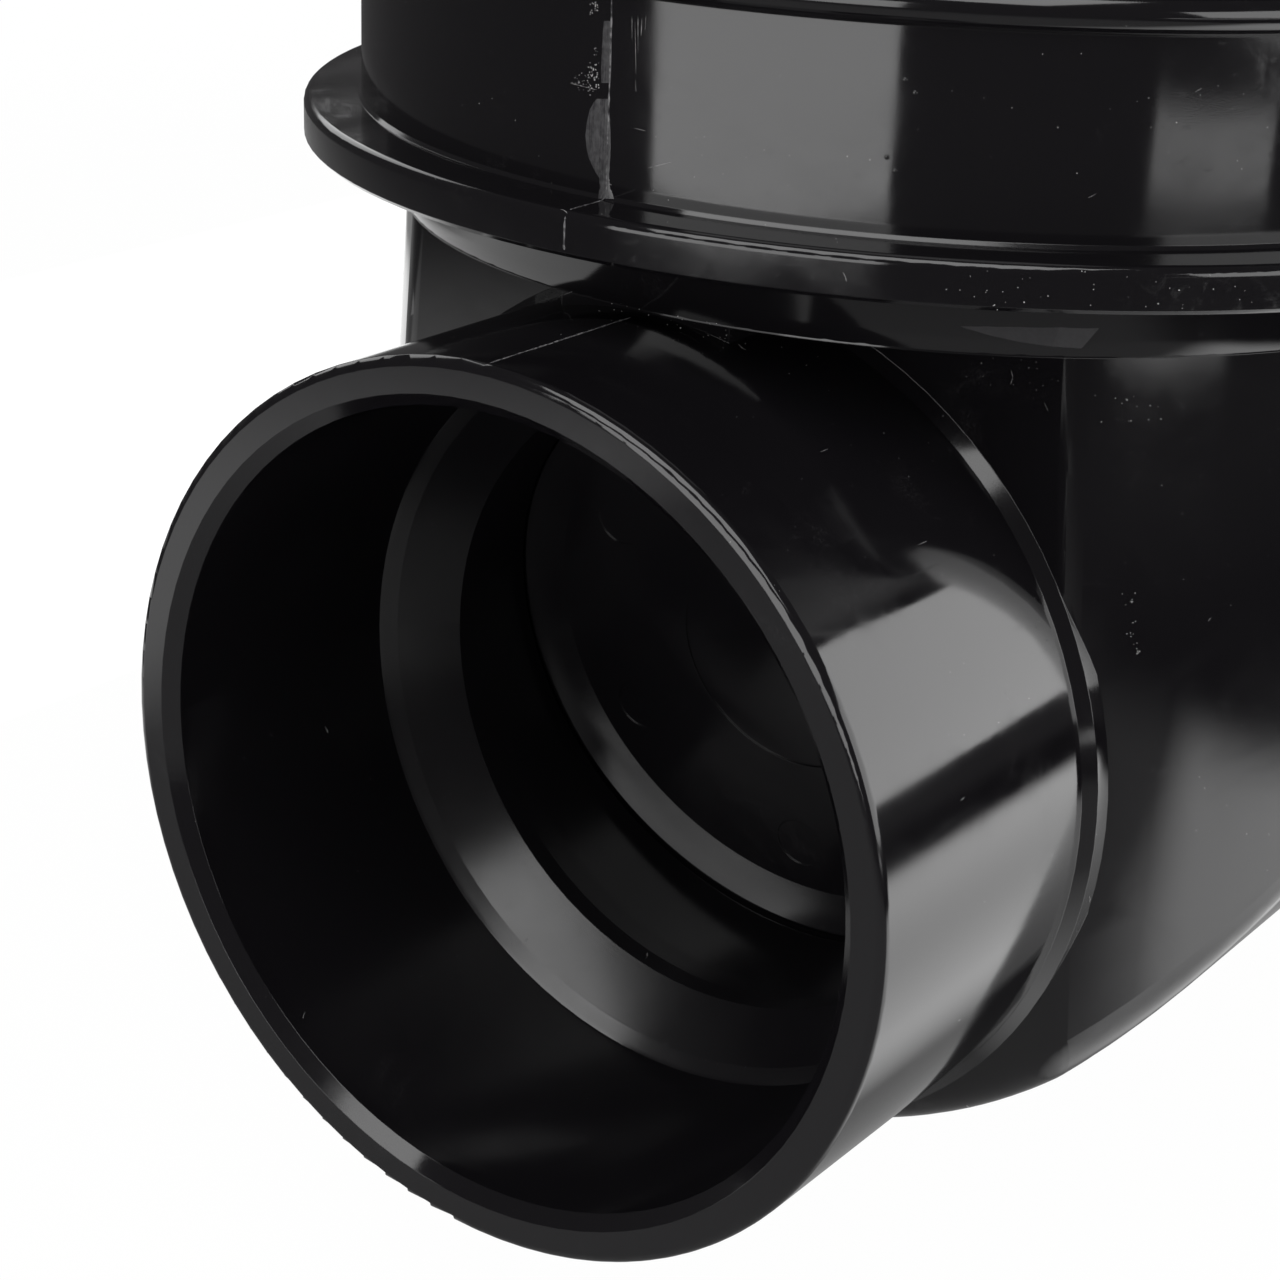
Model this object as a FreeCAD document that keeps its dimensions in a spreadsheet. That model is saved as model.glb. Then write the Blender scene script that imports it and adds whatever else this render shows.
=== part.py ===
import FreeCAD, Part
import math
import os
import re
import Sketcher

# Backwater valve for a building drain
# Lengths are millimetres, angles are degrees, +Z is up and +X is the way the water flows.
# The origin is on the axis shared by both hubs, where the mouth bevel of the inlet meets its socket.

SIZES = {
    # Hubs, alike at the inlet and the outlet
    "hub_radius": 64.0,
    "hub_rim_round": 1.3,
    "hub_foot_bevel": 1.6,
    "mouth_bevel": 1.9,
    "socket_radius": 57.2,
    "socket_depth": 47.6,
    "socket_corner": 2.0,
    "stop_length": 7.8,
    "waterway_radius": 48.9,
    "seat_way_radius": 48.5,
    "seat_way_lead": 3.0,
    "valve_length": 260.0,
    # Pot, with its half-round floor, its flat front and the brow above that flat
    "neck_x": 116.8,
    "front_depth": 66.7,
    "front_round": 5.0,
    "pot_brow_radius": 86.5,
    "pot_foot_radius": 93.0,
    "belly_bottom": -65.0,
    "belly_radius": 92.0,
    "crease_round": 8.0,
    "wall": 6.0,
    "brow_bottom": 65.0,
    "brow_step": 0.25,
    "saddle_width": 28.0,
    "saddle_step": 2.0,
    # Collar flange, neck and the rounded rim of the neck
    "flange_bottom": 74.9,
    "flange_thickness": 6.1,
    "flange_reach": 8.7,
    "flange_top_round": 1.2,
    "flange_low_bevel": 0.6,
    "neck_land": 0.6,
    "neck_wall": 5.5,
    "neck_foot_bevel": 0.5,
    "neck_height": 26.4,
    "bead_height": 5.0,
    "bead_reach": 1.6,
    "shoulder_drop": 1.0,
    # Seat, which leans so that the flap shuts by its own weight
    "seat_lead": 20.5,
    "seat_tilt": 12.0,
    "seat_bore_radius": 49.7,
    "seat_bore_lead": 1.0,
    "seat_tube_radius": 56.4,
    "seat_rib_width": 12.0,
    # Flap, measured from the seat along the leaning axis
    "face_radius": 49.05,
    "face_edge": 0.3,
    "face_draft": 0.4,
    "face_rim_radius": 43.0,
    "face_recess": 2.55,
    "face_thickness": 5.0,
    "face_circle_radius": 18.9,
    "face_circle_step": 0.3,
    "clamp_pitch_radius": 34.5,
    "clamp_count": 6.0,
    "clamp_boss_radius": 4.2,
    "clamp_mark_depth": 0.2,
    "clamp_hole_floor": 1.6,
    "seal_gap": 0.1,
    "boss_room": 0.6,
    "seal_outer_radius": 55.5,
    "seal_thickness": 3.0,
    "carrier_radius": 56.0,
    "carrier_thickness": 4.0,
    "carrier_rim_width": 4.0,
    "carrier_rib_height": 3.5,
    "carrier_cross_rib": 5.0,
    "clamp_screw_radius": 1.75,
    "clamp_head_radius": 3.6,
    "clamp_head_height": 2.4,
    # Hinge
    "pivot_along": 9.0,
    "pivot_up": 62.0,
    "lug_inner_y": 11.0,
    "lug_thickness": 6.0,
    "lug_radius": 6.0,
    "ear_gap": 0.5,
    "ear_thickness": 5.0,
    "ear_radius": 6.5,
    "pin_radius": 3.0,
    "pin_overhang": 3.5,
    "pin_bevel": 0.5,
    "pin_groove_radius": 2.2,
    "clip_gap": 0.2,
    "clip_thickness": 1.0,
    "clip_radius": 5.6,
    "clip_slot": 3.4,
    "fit_gap": 0.05,
    # Bracket that carries the hinge, on the ledge inside the brow
    "bracket_seat_z": 75.0,
    "bracket_lead": 7.0,
    "bracket_length": 27.0,
    "bracket_thickness": 4.0,
    "bracket_corner": 3.0,
    "bracket_screw_inset": 6.0,
    "bracket_screw_y": 14.0,
    "bracket_boss_radius": 6.0,
    "bracket_screw_radius": 2.0,
    "bracket_screw_length": 10.5,
    "bracket_head_radius": 4.0,
    "bracket_head_height": 2.6,
    "bracket_insert_radius": 3.5,
    "bracket_insert_length": 7.0,
    # Access cover and its fasteners
    "cover_land": 1.5,
    "cover_thickness": 6.0,
    "cover_bevel": 1.5,
    "spigot_gap": 0.4,
    "spigot_width": 4.0,
    "spigot_depth": 5.0,
    "cover_pad_gap": 9.8,
    "cover_pad_height": 2.0,
    "gasket_outer_radius": 93.3,
    "gasket_width": 1.6,
    "gasket_height": 1.5,
    "gasket_gap": 0.1,
    "gasket_lead": 0.6,
    "cover_screw_count": 8.0,
    "cover_boss_radius": 6.2,
    "cover_screw_radius": 2.5,
    "cover_screw_length": 20.0,
    "cover_head_radius": 4.6,
    "cover_head_height": 3.4,
    "cover_key_radius": 2.2,
    "cover_key_depth": 1.8,
    "washer_radius": 5.4,
    "washer_thickness": 1.2,
    "cover_insert_radius": 3.9,
    "cover_insert_length": 12.0,
    "tip_room": 1.0,
}

# Places worked out from the driving sizes
NECK_RADIUS = "(gasket_outer_radius + neck_land)"
NECK_BORE = f"({NECK_RADIUS} - neck_wall)"
FLANGE_RADIUS = f"({NECK_RADIUS} + flange_reach)"
COVER_RADIUS = "(gasket_outer_radius + cover_land)"
SCREW_CIRCLE = "(gasket_outer_radius - gasket_width - gasket_lead - cover_insert_radius)"
PAD_RADIUS = f"({SCREW_CIRCLE} - washer_radius - cover_pad_height - cover_pad_gap)"
FLANGE_TOP = "(flange_bottom + flange_thickness)"
BEAD_BOTTOM = f"({FLANGE_TOP} + neck_height)"
RIM_TOP = f"({BEAD_BOTTOM} + bead_height)"
SHOULDER = f"({FLANGE_TOP} - shoulder_drop)"
BEAD_ROUND = "((bead_height * bead_height / 4 + bead_reach * bead_reach) / (2 * bead_reach))"
POT_LOW = "(belly_bottom - wall)"
BELLY_AXIS = "(belly_bottom + belly_radius)"
BROW_SHARE = f"((brow_bottom - {POT_LOW}) / (flange_bottom - {POT_LOW}))"
BROW_RADIUS = f"(pot_foot_radius + (pot_brow_radius - pot_foot_radius) * {BROW_SHARE})"
FRONT_X = "(neck_x - front_depth)"
FRONT_INSIDE = f"({FRONT_X} + wall)"
FRONT_MIDDLE = f"({FRONT_X} + wall / 2)"
SEAT_X = f"({FRONT_X} + seat_lead)"
BRACKET_FRONT = f"({FRONT_X} - bracket_lead)"
LEDGE = "(brow_bottom + wall)"
INLET_RIM = "(0 - mouth_bevel)"
OUTLET_RIM = "(valve_length - mouth_bevel)"
STOP_RADIUS = "(socket_radius - socket_corner)"
STOP_END = "(socket_depth + stop_length)"
SEAT_FACE = "(face_thickness - seal_gap)"
SEAL_BACK = "(face_thickness + seal_thickness)"
SEAL_INNER = "(clamp_pitch_radius + clamp_boss_radius + boss_room)"
CARRIER_PAD = "(clamp_pitch_radius - clamp_boss_radius - boss_room)"
CARRIER_BACK = f"({SEAL_BACK} + carrier_thickness)"
CARRIER_MIDDLE = f"({SEAL_BACK} + carrier_thickness / 2)"
RIB_BACK = f"({CARRIER_BACK} + carrier_rib_height)"
RIM_INSIDE = "(carrier_radius - carrier_rim_width)"
CLAMP_TIP = "(face_recess + clamp_mark_depth + clamp_hole_floor)"
PIVOT_X = f"({SEAT_X} + pivot_along * cos(seat_tilt) - pivot_up * sin(seat_tilt))"
PIVOT_Z = "(pivot_along * sin(seat_tilt) + pivot_up * cos(seat_tilt))"
LUG_OUTER = "(lug_inner_y + lug_thickness)"
EAR_INNER = f"({LUG_OUTER} + ear_gap)"
EAR_OUTER = f"({EAR_INNER} + ear_thickness)"
CLIP_INNER = f"({EAR_OUTER} + clip_gap)"
CLIP_OUTER = f"({CLIP_INNER} + clip_thickness)"
PIN_HALF = f"({CLIP_OUTER} + pin_overhang)"
PIN_HOLE = "(pin_radius + fit_gap)"
BRACKET_TOP = "(bracket_seat_z + bracket_thickness)"
BRACKET_BACK = f"({BRACKET_FRONT} + bracket_length)"
BRACKET_SCREW_X = f"({BRACKET_FRONT} + bracket_screw_inset)"
COVER_TOP = f"({RIM_TOP} + cover_thickness)"
WASHER_TOP = f"({COVER_TOP} + washer_thickness)"
SPIGOT_RADIUS = f"({SCREW_CIRCLE} - cover_boss_radius - spigot_gap)"
INSERT_BOTTOM = f"({RIM_TOP} - cover_insert_length)"
SLEEVE_BOTTOM = "(bracket_seat_z - bracket_insert_length)"

# Room that a cutting outline takes past the solid that it cuts
CLEAR = 20.0
# How near to a surface a point counts as on it
NEAR = 0.02

doc = FreeCAD.newDocument("backwater_valve")
sheet = doc.addObject("Spreadsheet::Sheet", "Dims")


def fill_sheet():
    """Write every driving size into the sheet, with its name beside it as the alias."""
    for row, (name, size) in enumerate(SIZES.items(), start=1):
        sheet.set(f"A{row}", name)
        sheet.set(f"B{row}", str(size))
        sheet.setAlias(f"B{row}", name)
    doc.recompute()


def formula(text):
    """Turn plain size names into references to the sheet's cells."""
    return re.sub(r"[a-z_]+", lambda word: f"Dims.{word[0]}" if word[0] in SIZES else word[0], str(text))


def number(text):
    """Value of a formula with the sizes as they are now."""
    result = sheet.evalExpression(formula(text))
    return float(getattr(result, "Value", result))


def bind(item, **properties):
    """Tie properties of an object to formulas; a double underscore stands for a dot."""
    for name, text in properties.items():
        item.setExpression(name.replace("__", "."), formula(text))


def new_body(label):
    """An empty body whose label is the node's name."""
    body = doc.addObject("PartDesign::Body", label)
    body.Label = label
    return body


def origin_part(body, role):
    """One of the body's own planes or axes."""
    return next(item for item in body.Origin.OriginFeatures if item.Role == role)


def new_sketch(body, name, role, across="0", up="0", out="0"):
    """A sketch on one of the body's own planes, moved by three formulas."""
    sketch = body.newObject("Sketcher::SketchObject", name)
    sketch.AttachmentSupport = [(origin_part(body, role), "")]
    sketch.MapMode = "FlatFace"
    bind(sketch, AttachmentOffset__Base__x=across, AttachmentOffset__Base__y=up, AttachmentOffset__Base__z=out)
    return sketch


def hold(sketch, kind, where, text):
    """Fix a coordinate or a radius in a sketch to a formula."""
    rule = sketch.addConstraint(Sketcher.Constraint(kind, *where, number(text)))
    sketch.setExpression(f"Constraints[{rule}]", formula(text))


def arc_middle(start, end, radius, side):
    """Middle of the shorter arc that bulges to the left (1) or the right (-1) of its chord."""
    chord = end - start
    half = chord.Length / 2
    rise = radius - math.sqrt(max(radius * radius - half * half, 0.0))
    left = FreeCAD.Vector(-chord.y, chord.x, 0).normalize()
    return (start + end) * 0.5 + left * (rise * side)


def outline(body, name, role, corners, **place):
    """A closed outline. A corner is (x, y), or (x, y, radius, side) where an arc starts at it."""
    sketch = new_sketch(body, name, role, **place)
    points = [FreeCAD.Vector(number(corner[0]), number(corner[1]), 0) for corner in corners]
    ends = []
    for index, corner in enumerate(corners):
        start = points[index]
        end = points[(index + 1) % len(points)]
        if len(corner) == 2:
            edge = sketch.addGeometry(Part.LineSegment(start, end), False)
            ends.append((edge, 1, 2))
            continue
        middle = arc_middle(start, end, number(corner[2]), corner[3])
        edge = sketch.addGeometry(Part.Arc(start, middle, end), False)
        forward = (sketch.getPoint(edge, 1) - start).Length < (sketch.getPoint(edge, 2) - start).Length
        ends.append((edge, 1, 2) if forward else (edge, 2, 1))
    for index, (edge, first, last) in enumerate(ends):
        following = ends[(index + 1) % len(ends)]
        sketch.addConstraint(Sketcher.Constraint("Coincident", edge, last, following[0], following[1]))
    for index, corner in enumerate(corners):
        edge, first, last = ends[index]
        hold(sketch, "DistanceX", (-1, 1, edge, first), corner[0])
        hold(sketch, "DistanceY", (-1, 1, edge, first), corner[1])
        if len(corner) > 2:
            hold(sketch, "Radius", (edge,), corner[2])
    return sketch


def circle(body, name, role, radius, centre_across="0", centre_up="0", **place):
    """A full circle round a point given by two formulas."""
    sketch = new_sketch(body, name, role, **place)
    centre = FreeCAD.Vector(number(centre_across), number(centre_up), 0)
    edge = sketch.addGeometry(Part.Circle(centre, FreeCAD.Vector(0, 0, 1), number(radius)), False)
    hold(sketch, "DistanceX", (-1, 1, edge, 3), centre_across)
    hold(sketch, "DistanceY", (-1, 1, edge, 3), centre_up)
    hold(sketch, "Radius", (edge,), radius)
    return sketch


def turned(body, sketch, axis):
    """Turn an outline all the way round an axis of its sketch."""
    feature = body.newObject("PartDesign::Revolution", f"{sketch.Name}_turned")
    feature.Profile = sketch
    feature.ReferenceAxis = (sketch, [axis])
    feature.Angle = 360
    body.Tip = feature
    return feature


def raised(body, sketch, length, both=False):
    """Raise an outline by a length, half of it each way if both is set."""
    feature = body.newObject("PartDesign::Pad", f"{sketch.Name}_raised")
    feature.Profile = sketch
    feature.SideType = "Symmetric" if both else "One side"
    bind(feature, Length=length)
    body.Tip = feature
    return feature


def sunk(body, sketch, length=None):
    """Cut an outline against its normal to a depth, or right through both ways with no depth."""
    feature = body.newObject("PartDesign::Pocket", f"{sketch.Name}_cut")
    feature.Profile = sketch
    if length is None:
        feature.Type = "ThroughAll"
        feature.SideType = "Symmetric"
    else:
        bind(feature, Length=length)
    body.Tip = feature
    return feature


def around(body, features, role, count):
    """Repeat features evenly round one of the body's own axes."""
    pattern = body.newObject("PartDesign::PolarPattern", f"{features[0].Name}_around")
    pattern.Originals = features
    pattern.Axis = (origin_part(body, role), [""])
    pattern.Angle = 360
    bind(pattern, Occurrences=count)
    body.Tip = pattern
    return pattern


def mirrored(body, features, role):
    """Mirror features in one of the body's own planes."""
    mirror = body.newObject("PartDesign::Mirrored", f"{features[0].Name}_mirrored")
    mirror.Originals = features
    mirror.MirrorPlane = (origin_part(body, role), [""])
    body.Tip = mirror
    return mirror


def rounded(body, radius, wanted, name):
    """Round the edges of the body's solid whose sample points pass a test."""
    doc.recompute()
    base = body.Tip
    edges = [f"Edge{index}" for index, edge in enumerate(base.Shape.Edges, start=1)
             if wanted(edge.discretize(5))]
    feature = body.newObject("PartDesign::Fillet", name)
    feature.Base = (base, edges)
    bind(feature, Radius=radius)
    body.Tip = feature
    return feature


# Valve body

def belly_cut(body, name, radius):
    """Cut away what lies outside a half-round floor that runs along the flow."""
    wide = f"(pot_foot_radius + {CLEAR})"
    low = f"(belly_bottom - {CLEAR})"
    corners = [
        (f"-{wide}", BELLY_AXIS),
        (f"-{radius}", BELLY_AXIS, radius, -1),
        ("0", f"{BELLY_AXIS} - {radius}", radius, -1),
        (radius, BELLY_AXIS),
        (wide, BELLY_AXIS),
        (wide, low),
        (f"-{wide}", low),
    ]
    return sunk(body, outline(body, name, "YZ_Plane", corners))


def front_cut(body, name, face_x, top_z):
    """Cut away what lies ahead of the flat front, up to the underside of the brow."""
    low = f"(belly_bottom - {CLEAR})"
    corners = [
        (f"-{CLEAR}", low),
        (face_x, low),
        (face_x, top_z),
        (f"-{CLEAR}", top_z),
    ]
    return sunk(body, outline(body, name, "XZ_Plane", corners))


def on_crease(points):
    """True for an edge where the half-round floor meets the pot's wall."""
    height = number(f"flange_bottom - {POT_LOW}")
    flare = number("pot_foot_radius - pot_brow_radius")
    for point in points:
        wall_radius = number("pot_brow_radius") + flare * (number("flange_bottom") - point.z) / height
        if abs(math.hypot(point.x - number("neck_x"), point.y) - wall_radius) > NEAR:
            return False
        if abs(math.hypot(point.y, point.z - number(BELLY_AXIS)) - number("belly_radius")) > NEAR:
            return False
    return True


def on_front(points):
    """True for the side and bottom edges of the flat front."""
    low = min(point.z for point in points) < number("brow_bottom") - NEAR
    return low and all(abs(point.x - number(FRONT_X)) < NEAR for point in points)


def build_hubs(body):
    """Turn both hubs round the flow axis, the inlet's with a rounded rim and a bevelled foot."""
    inlet = [
        (INLET_RIM, "0"),
        (INLET_RIM, "hub_radius - hub_rim_round", "hub_rim_round", 1),
        (f"{INLET_RIM} + hub_rim_round", "hub_radius"),
        (f"{FRONT_X} - hub_foot_bevel", "hub_radius"),
        (FRONT_X, "hub_radius + hub_foot_bevel"),
        (FRONT_MIDDLE, "hub_radius + hub_foot_bevel"),
        (FRONT_MIDDLE, "0"),
    ]
    turned(body, outline(body, "inlet_hub", "XY_Plane", inlet), "H_Axis")
    outlet = [
        ("neck_x", "0"),
        ("neck_x", "hub_radius"),
        (f"{OUTLET_RIM} - hub_rim_round", "hub_radius"),
        (OUTLET_RIM, "hub_radius - hub_rim_round"),
        (OUTLET_RIM, "0"),
    ]
    turned(body, outline(body, "outlet_hub", "XY_Plane", outlet), "H_Axis")


def build_outside():
    """Outside of the valve body as a full solid."""
    body = new_body("body_outside")
    pot = [
        ("0", POT_LOW),
        ("pot_foot_radius", POT_LOW),
        (BROW_RADIUS, "brow_bottom"),
        ("0", "brow_bottom"),
    ]
    turned(body, outline(body, "pot_outline", "XZ_Plane", pot, across="neck_x"), "V_Axis")
    belly_cut(body, "belly_outside", "belly_radius")
    front_cut(body, "front_outside", FRONT_X, "brow_bottom + wall")
    rounded(body, "crease_round", on_crease, "crease_rounding")
    rounded(body, "front_round", on_front, "front_rounding")
    above = [
        ("0", "brow_bottom"),
        (f"{BROW_RADIUS} + brow_step", "brow_bottom"),
        ("pot_brow_radius", "flange_bottom"),
        (f"{FLANGE_RADIUS} - flange_low_bevel", "flange_bottom"),
        (FLANGE_RADIUS, "flange_bottom + flange_low_bevel"),
        (FLANGE_RADIUS, f"{FLANGE_TOP} - flange_top_round", "flange_top_round", -1),
        (f"{FLANGE_RADIUS} - flange_top_round", FLANGE_TOP),
        (f"{NECK_RADIUS} + neck_foot_bevel", FLANGE_TOP),
        (NECK_RADIUS, f"{FLANGE_TOP} + neck_foot_bevel"),
        (NECK_RADIUS, BEAD_BOTTOM, BEAD_ROUND, -1),
        (NECK_RADIUS, RIM_TOP),
        ("0", RIM_TOP),
    ]
    turned(body, outline(body, "neck_outline", "XZ_Plane", above, across="neck_x"), "V_Axis")
    build_hubs(body)
    saddle_x = "(neck_x - pot_brow_radius + saddle_step)"
    saddle = [
        (saddle_x, "hub_radius - wall"),
        (FRONT_MIDDLE, "hub_radius - wall"),
        (FRONT_MIDDLE, "brow_bottom + wall / 2"),
        (saddle_x, "brow_bottom + wall / 2"),
    ]
    raised(body, outline(body, "saddle_outline", "XZ_Plane", saddle), "saddle_width", both=True)
    return body


def build_core():
    """Room inside the pot and the neck."""
    body = new_body("body_core")
    room = [
        ("0", POT_LOW),
        ("pot_foot_radius - wall", POT_LOW),
        ("pot_brow_radius - wall", "flange_bottom"),
        ("pot_brow_radius - wall", SHOULDER),
        (NECK_BORE, SHOULDER),
        (NECK_BORE, f"{RIM_TOP} + wall"),
        ("0", f"{RIM_TOP} + wall"),
    ]
    turned(body, outline(body, "room_outline", "XZ_Plane", room, across="neck_x"), "V_Axis")
    belly_cut(body, "belly_inside", "(belly_radius - wall)")
    front_cut(body, "front_inside", FRONT_INSIDE, LEDGE)
    return body


def build_seat_tube():
    """End of the waterway inside the pot, cut off on the leaning plane of the seat, on its rib."""
    body = new_body("seat_tube")
    tube = [
        (FRONT_MIDDLE, "0"),
        (FRONT_MIDDLE, "seat_tube_radius"),
        ("neck_x", "seat_tube_radius"),
        ("neck_x", "0"),
    ]
    turned(body, outline(body, "tube_outline", "XY_Plane", tube), "H_Axis")
    rib = [
        (FRONT_MIDDLE, "belly_bottom + wall / 2"),
        ("neck_x", "belly_bottom + wall / 2"),
        ("neck_x", "0"),
        (FRONT_MIDDLE, "0"),
    ]
    raised(body, outline(body, "tube_rib", "XZ_Plane", rib), "seat_rib_width", both=True)
    reach = "(hub_radius * 2)"
    face_x = f"({SEAT_X} + {SEAT_FACE} * cos(seat_tilt))"
    face_z = f"({SEAT_FACE} * sin(seat_tilt))"
    beyond = [
        (f"{face_x} - {reach} * sin(seat_tilt)", f"{face_z} + {reach} * cos(seat_tilt)"),
        (f"{face_x} + {reach} * sin(seat_tilt)", f"{face_z} - {reach} * cos(seat_tilt)"),
        (f"neck_x + {CLEAR}", f"{face_z} - {reach} * cos(seat_tilt)"),
        (f"neck_x + {CLEAR}", f"{face_z} + {reach} * cos(seat_tilt)"),
    ]
    sunk(body, outline(body, "seat_plane", "XZ_Plane", beyond))
    return body


def build_bore(label, rim_x, way):
    """Socket, stop cone and waterway of one hub. The way is 1 at the inlet and -1 at the outlet."""
    body = new_body(label)

    def deep(depth):
        return f"{rim_x} + ({way}) * ({depth})"

    corners = [
        (deep("-wall"), "0"),
        (deep("-wall"), "socket_radius + mouth_bevel"),
        (deep("0"), "socket_radius + mouth_bevel"),
        (deep("mouth_bevel"), "socket_radius"),
        (deep("socket_depth - socket_corner"), "socket_radius"),
        (deep("socket_depth"), STOP_RADIUS),
        (deep(STOP_END), "waterway_radius"),
        (deep(f"{STOP_END} + seat_way_lead"), "seat_way_radius"),
        ("neck_x", "seat_way_radius"),
        ("neck_x", "0"),
    ]
    turned(body, outline(body, f"{label}_outline", "XY_Plane", corners), "H_Axis")
    return body


def lean(body):
    """Put a body on the leaning axis of the seat."""
    body.Placement = FreeCAD.Placement(FreeCAD.Vector(number(SEAT_X), 0, 0),
                                       FreeCAD.Rotation(FreeCAD.Vector(0, -1, 0), number("seat_tilt")))
    bind(body, Placement__Base__x=SEAT_X, Placement__Rotation__Angle="seat_tilt")


def over_neck(body):
    """Put a pattern of the cover's fastening on the neck, turned by half of one step."""
    turn = "180 / cover_screw_count"
    body.Placement = FreeCAD.Placement(FreeCAD.Vector(number("neck_x"), 0, 0),
                                       FreeCAD.Rotation(FreeCAD.Vector(0, 0, 1), number(turn)))
    bind(body, Placement__Base__x="neck_x", Placement__Rotation__Angle=turn)


def build_seat_bore():
    """Short bore square to the leaning seat, which the front of the flap plugs."""
    body = new_body("seat_bore")
    corners = [
        ("-seat_bore_lead", "0"),
        ("-seat_bore_lead", "seat_bore_radius"),
        ("face_thickness + wall", "seat_bore_radius"),
        ("face_thickness + wall", "0"),
    ]
    turned(body, outline(body, "seat_bore_outline", "XY_Plane", corners), "H_Axis")
    lean(body)
    return body


def neck_ring(label, inner, outer, bottom, top):
    """Upright pegs or sleeves at the cover's screws, none of them over the flow axis."""
    body = new_body(label)
    corners = [
        (inner, bottom),
        (outer, bottom),
        (outer, top),
        (inner, top),
    ]
    sketch = outline(body, f"{label}_outline", "XZ_Plane", corners, across=SCREW_CIRCLE)
    around(body, [turned(body, sketch, "V_Axis")], "Z_Axis", "cover_screw_count")
    over_neck(body)
    return body


def ledge_pair(label, inner, outer, bottom, top):
    """Two upright pegs or sleeves at the bracket's screws."""
    body = new_body(label)
    corners = [
        (inner, bottom),
        (outer, bottom),
        (outer, top),
        (inner, top),
    ]
    sketch = outline(body, f"{label}_outline", "XZ_Plane", corners, across=BRACKET_SCREW_X,
                     out="-bracket_screw_y")
    mirrored(body, [turned(body, sketch, "V_Axis")], "XZ_Plane")
    return body


def build_valve_body():
    """The one moulding: outside less its core, with the seat tube and bosses added and the bores cut."""
    shell = doc.addObject("Part::Cut", "shell")
    shell.Base = build_outside()
    shell.Tool = build_core()
    whole = doc.addObject("Part::MultiFuse", "body_with_bosses")
    whole.Shapes = [
        shell,
        build_seat_tube(),
        neck_ring("cover_bosses", "0", "cover_boss_radius", f"{SHOULDER} - wall / 4", RIM_TOP),
        ledge_pair("bracket_bosses", "0", "bracket_boss_radius", f"{LEDGE} - wall / 2", "bracket_seat_z"),
    ]
    cover_tip = f"({WASHER_TOP} - cover_screw_length)"
    bracket_tip = f"({BRACKET_TOP} - bracket_screw_length)"
    cuts = doc.addObject("Part::MultiFuse", "body_bores")
    cuts.Shapes = [
        build_bore("inlet_bore", INLET_RIM, 1),
        build_bore("outlet_bore", OUTLET_RIM, -1),
        build_seat_bore(),
        neck_ring("cover_holes", "0", "cover_insert_radius + fit_gap",
                  f"min({INSERT_BOTTOM}; {cover_tip}) - tip_room", f"{RIM_TOP} + wall"),
        ledge_pair("bracket_holes", "0", "bracket_insert_radius + fit_gap",
                   f"min({SLEEVE_BOTTOM}; {bracket_tip}) - fit_gap", "bracket_seat_z + wall"),
    ]
    body = doc.addObject("Part::Cut", "valve_body")
    body.Label = "valve_body"
    body.Base = whole
    body.Tool = cuts
    body.Refine = True
    return body


# Flap

def build_flap_face():
    """Front disc of the flap: bevelled rim, recessed floor, the circle at its middle, clamp bosses."""
    body = new_body("flap_face")
    disc = [
        ("face_recess + face_circle_step", "0"),
        ("face_recess + face_circle_step", "face_circle_radius"),
        ("face_recess", "face_circle_radius"),
        ("face_recess", "face_rim_radius"),
        ("0", "face_radius - face_edge"),
        ("0", "face_radius"),
        ("face_thickness", "face_radius - face_draft"),
        ("face_thickness", "0"),
    ]
    turned(body, outline(body, "face_disc", "XY_Plane", disc), "H_Axis")
    low = "-clamp_pitch_radius"
    mark_floor = "face_recess + clamp_mark_depth"
    boss = raised(body, circle(body, "face_boss", "YZ_Plane", "clamp_boss_radius", centre_up=low,
                               out="face_thickness"), "seal_thickness")
    around(body, [boss], "X_Axis", "clamp_count")
    mark = sunk(body, circle(body, "face_mark", "YZ_Plane", "clamp_boss_radius", centre_up=low,
                             out=mark_floor), mark_floor)
    around(body, [mark], "X_Axis", "clamp_count")
    hole = sunk(body, circle(body, "face_hole", "YZ_Plane", "clamp_screw_radius + fit_gap", centre_up=low,
                             out=SEAL_BACK), f"{SEAL_BACK} - {CLAMP_TIP} + fit_gap")
    around(body, [hole], "X_Axis", "clamp_count")
    lean(body)
    return body


def build_flap_seal():
    """Flat rubber ring between the face and the carrier, wider than the face so that it meets the seat."""
    body = new_body("flap_seal")
    ring = [
        ("face_thickness", SEAL_INNER),
        ("face_thickness", "seal_outer_radius"),
        (SEAL_BACK, "seal_outer_radius"),
        (SEAL_BACK, SEAL_INNER),
    ]
    turned(body, outline(body, "seal_ring", "XY_Plane", ring), "H_Axis")
    lean(body)
    return body


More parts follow.
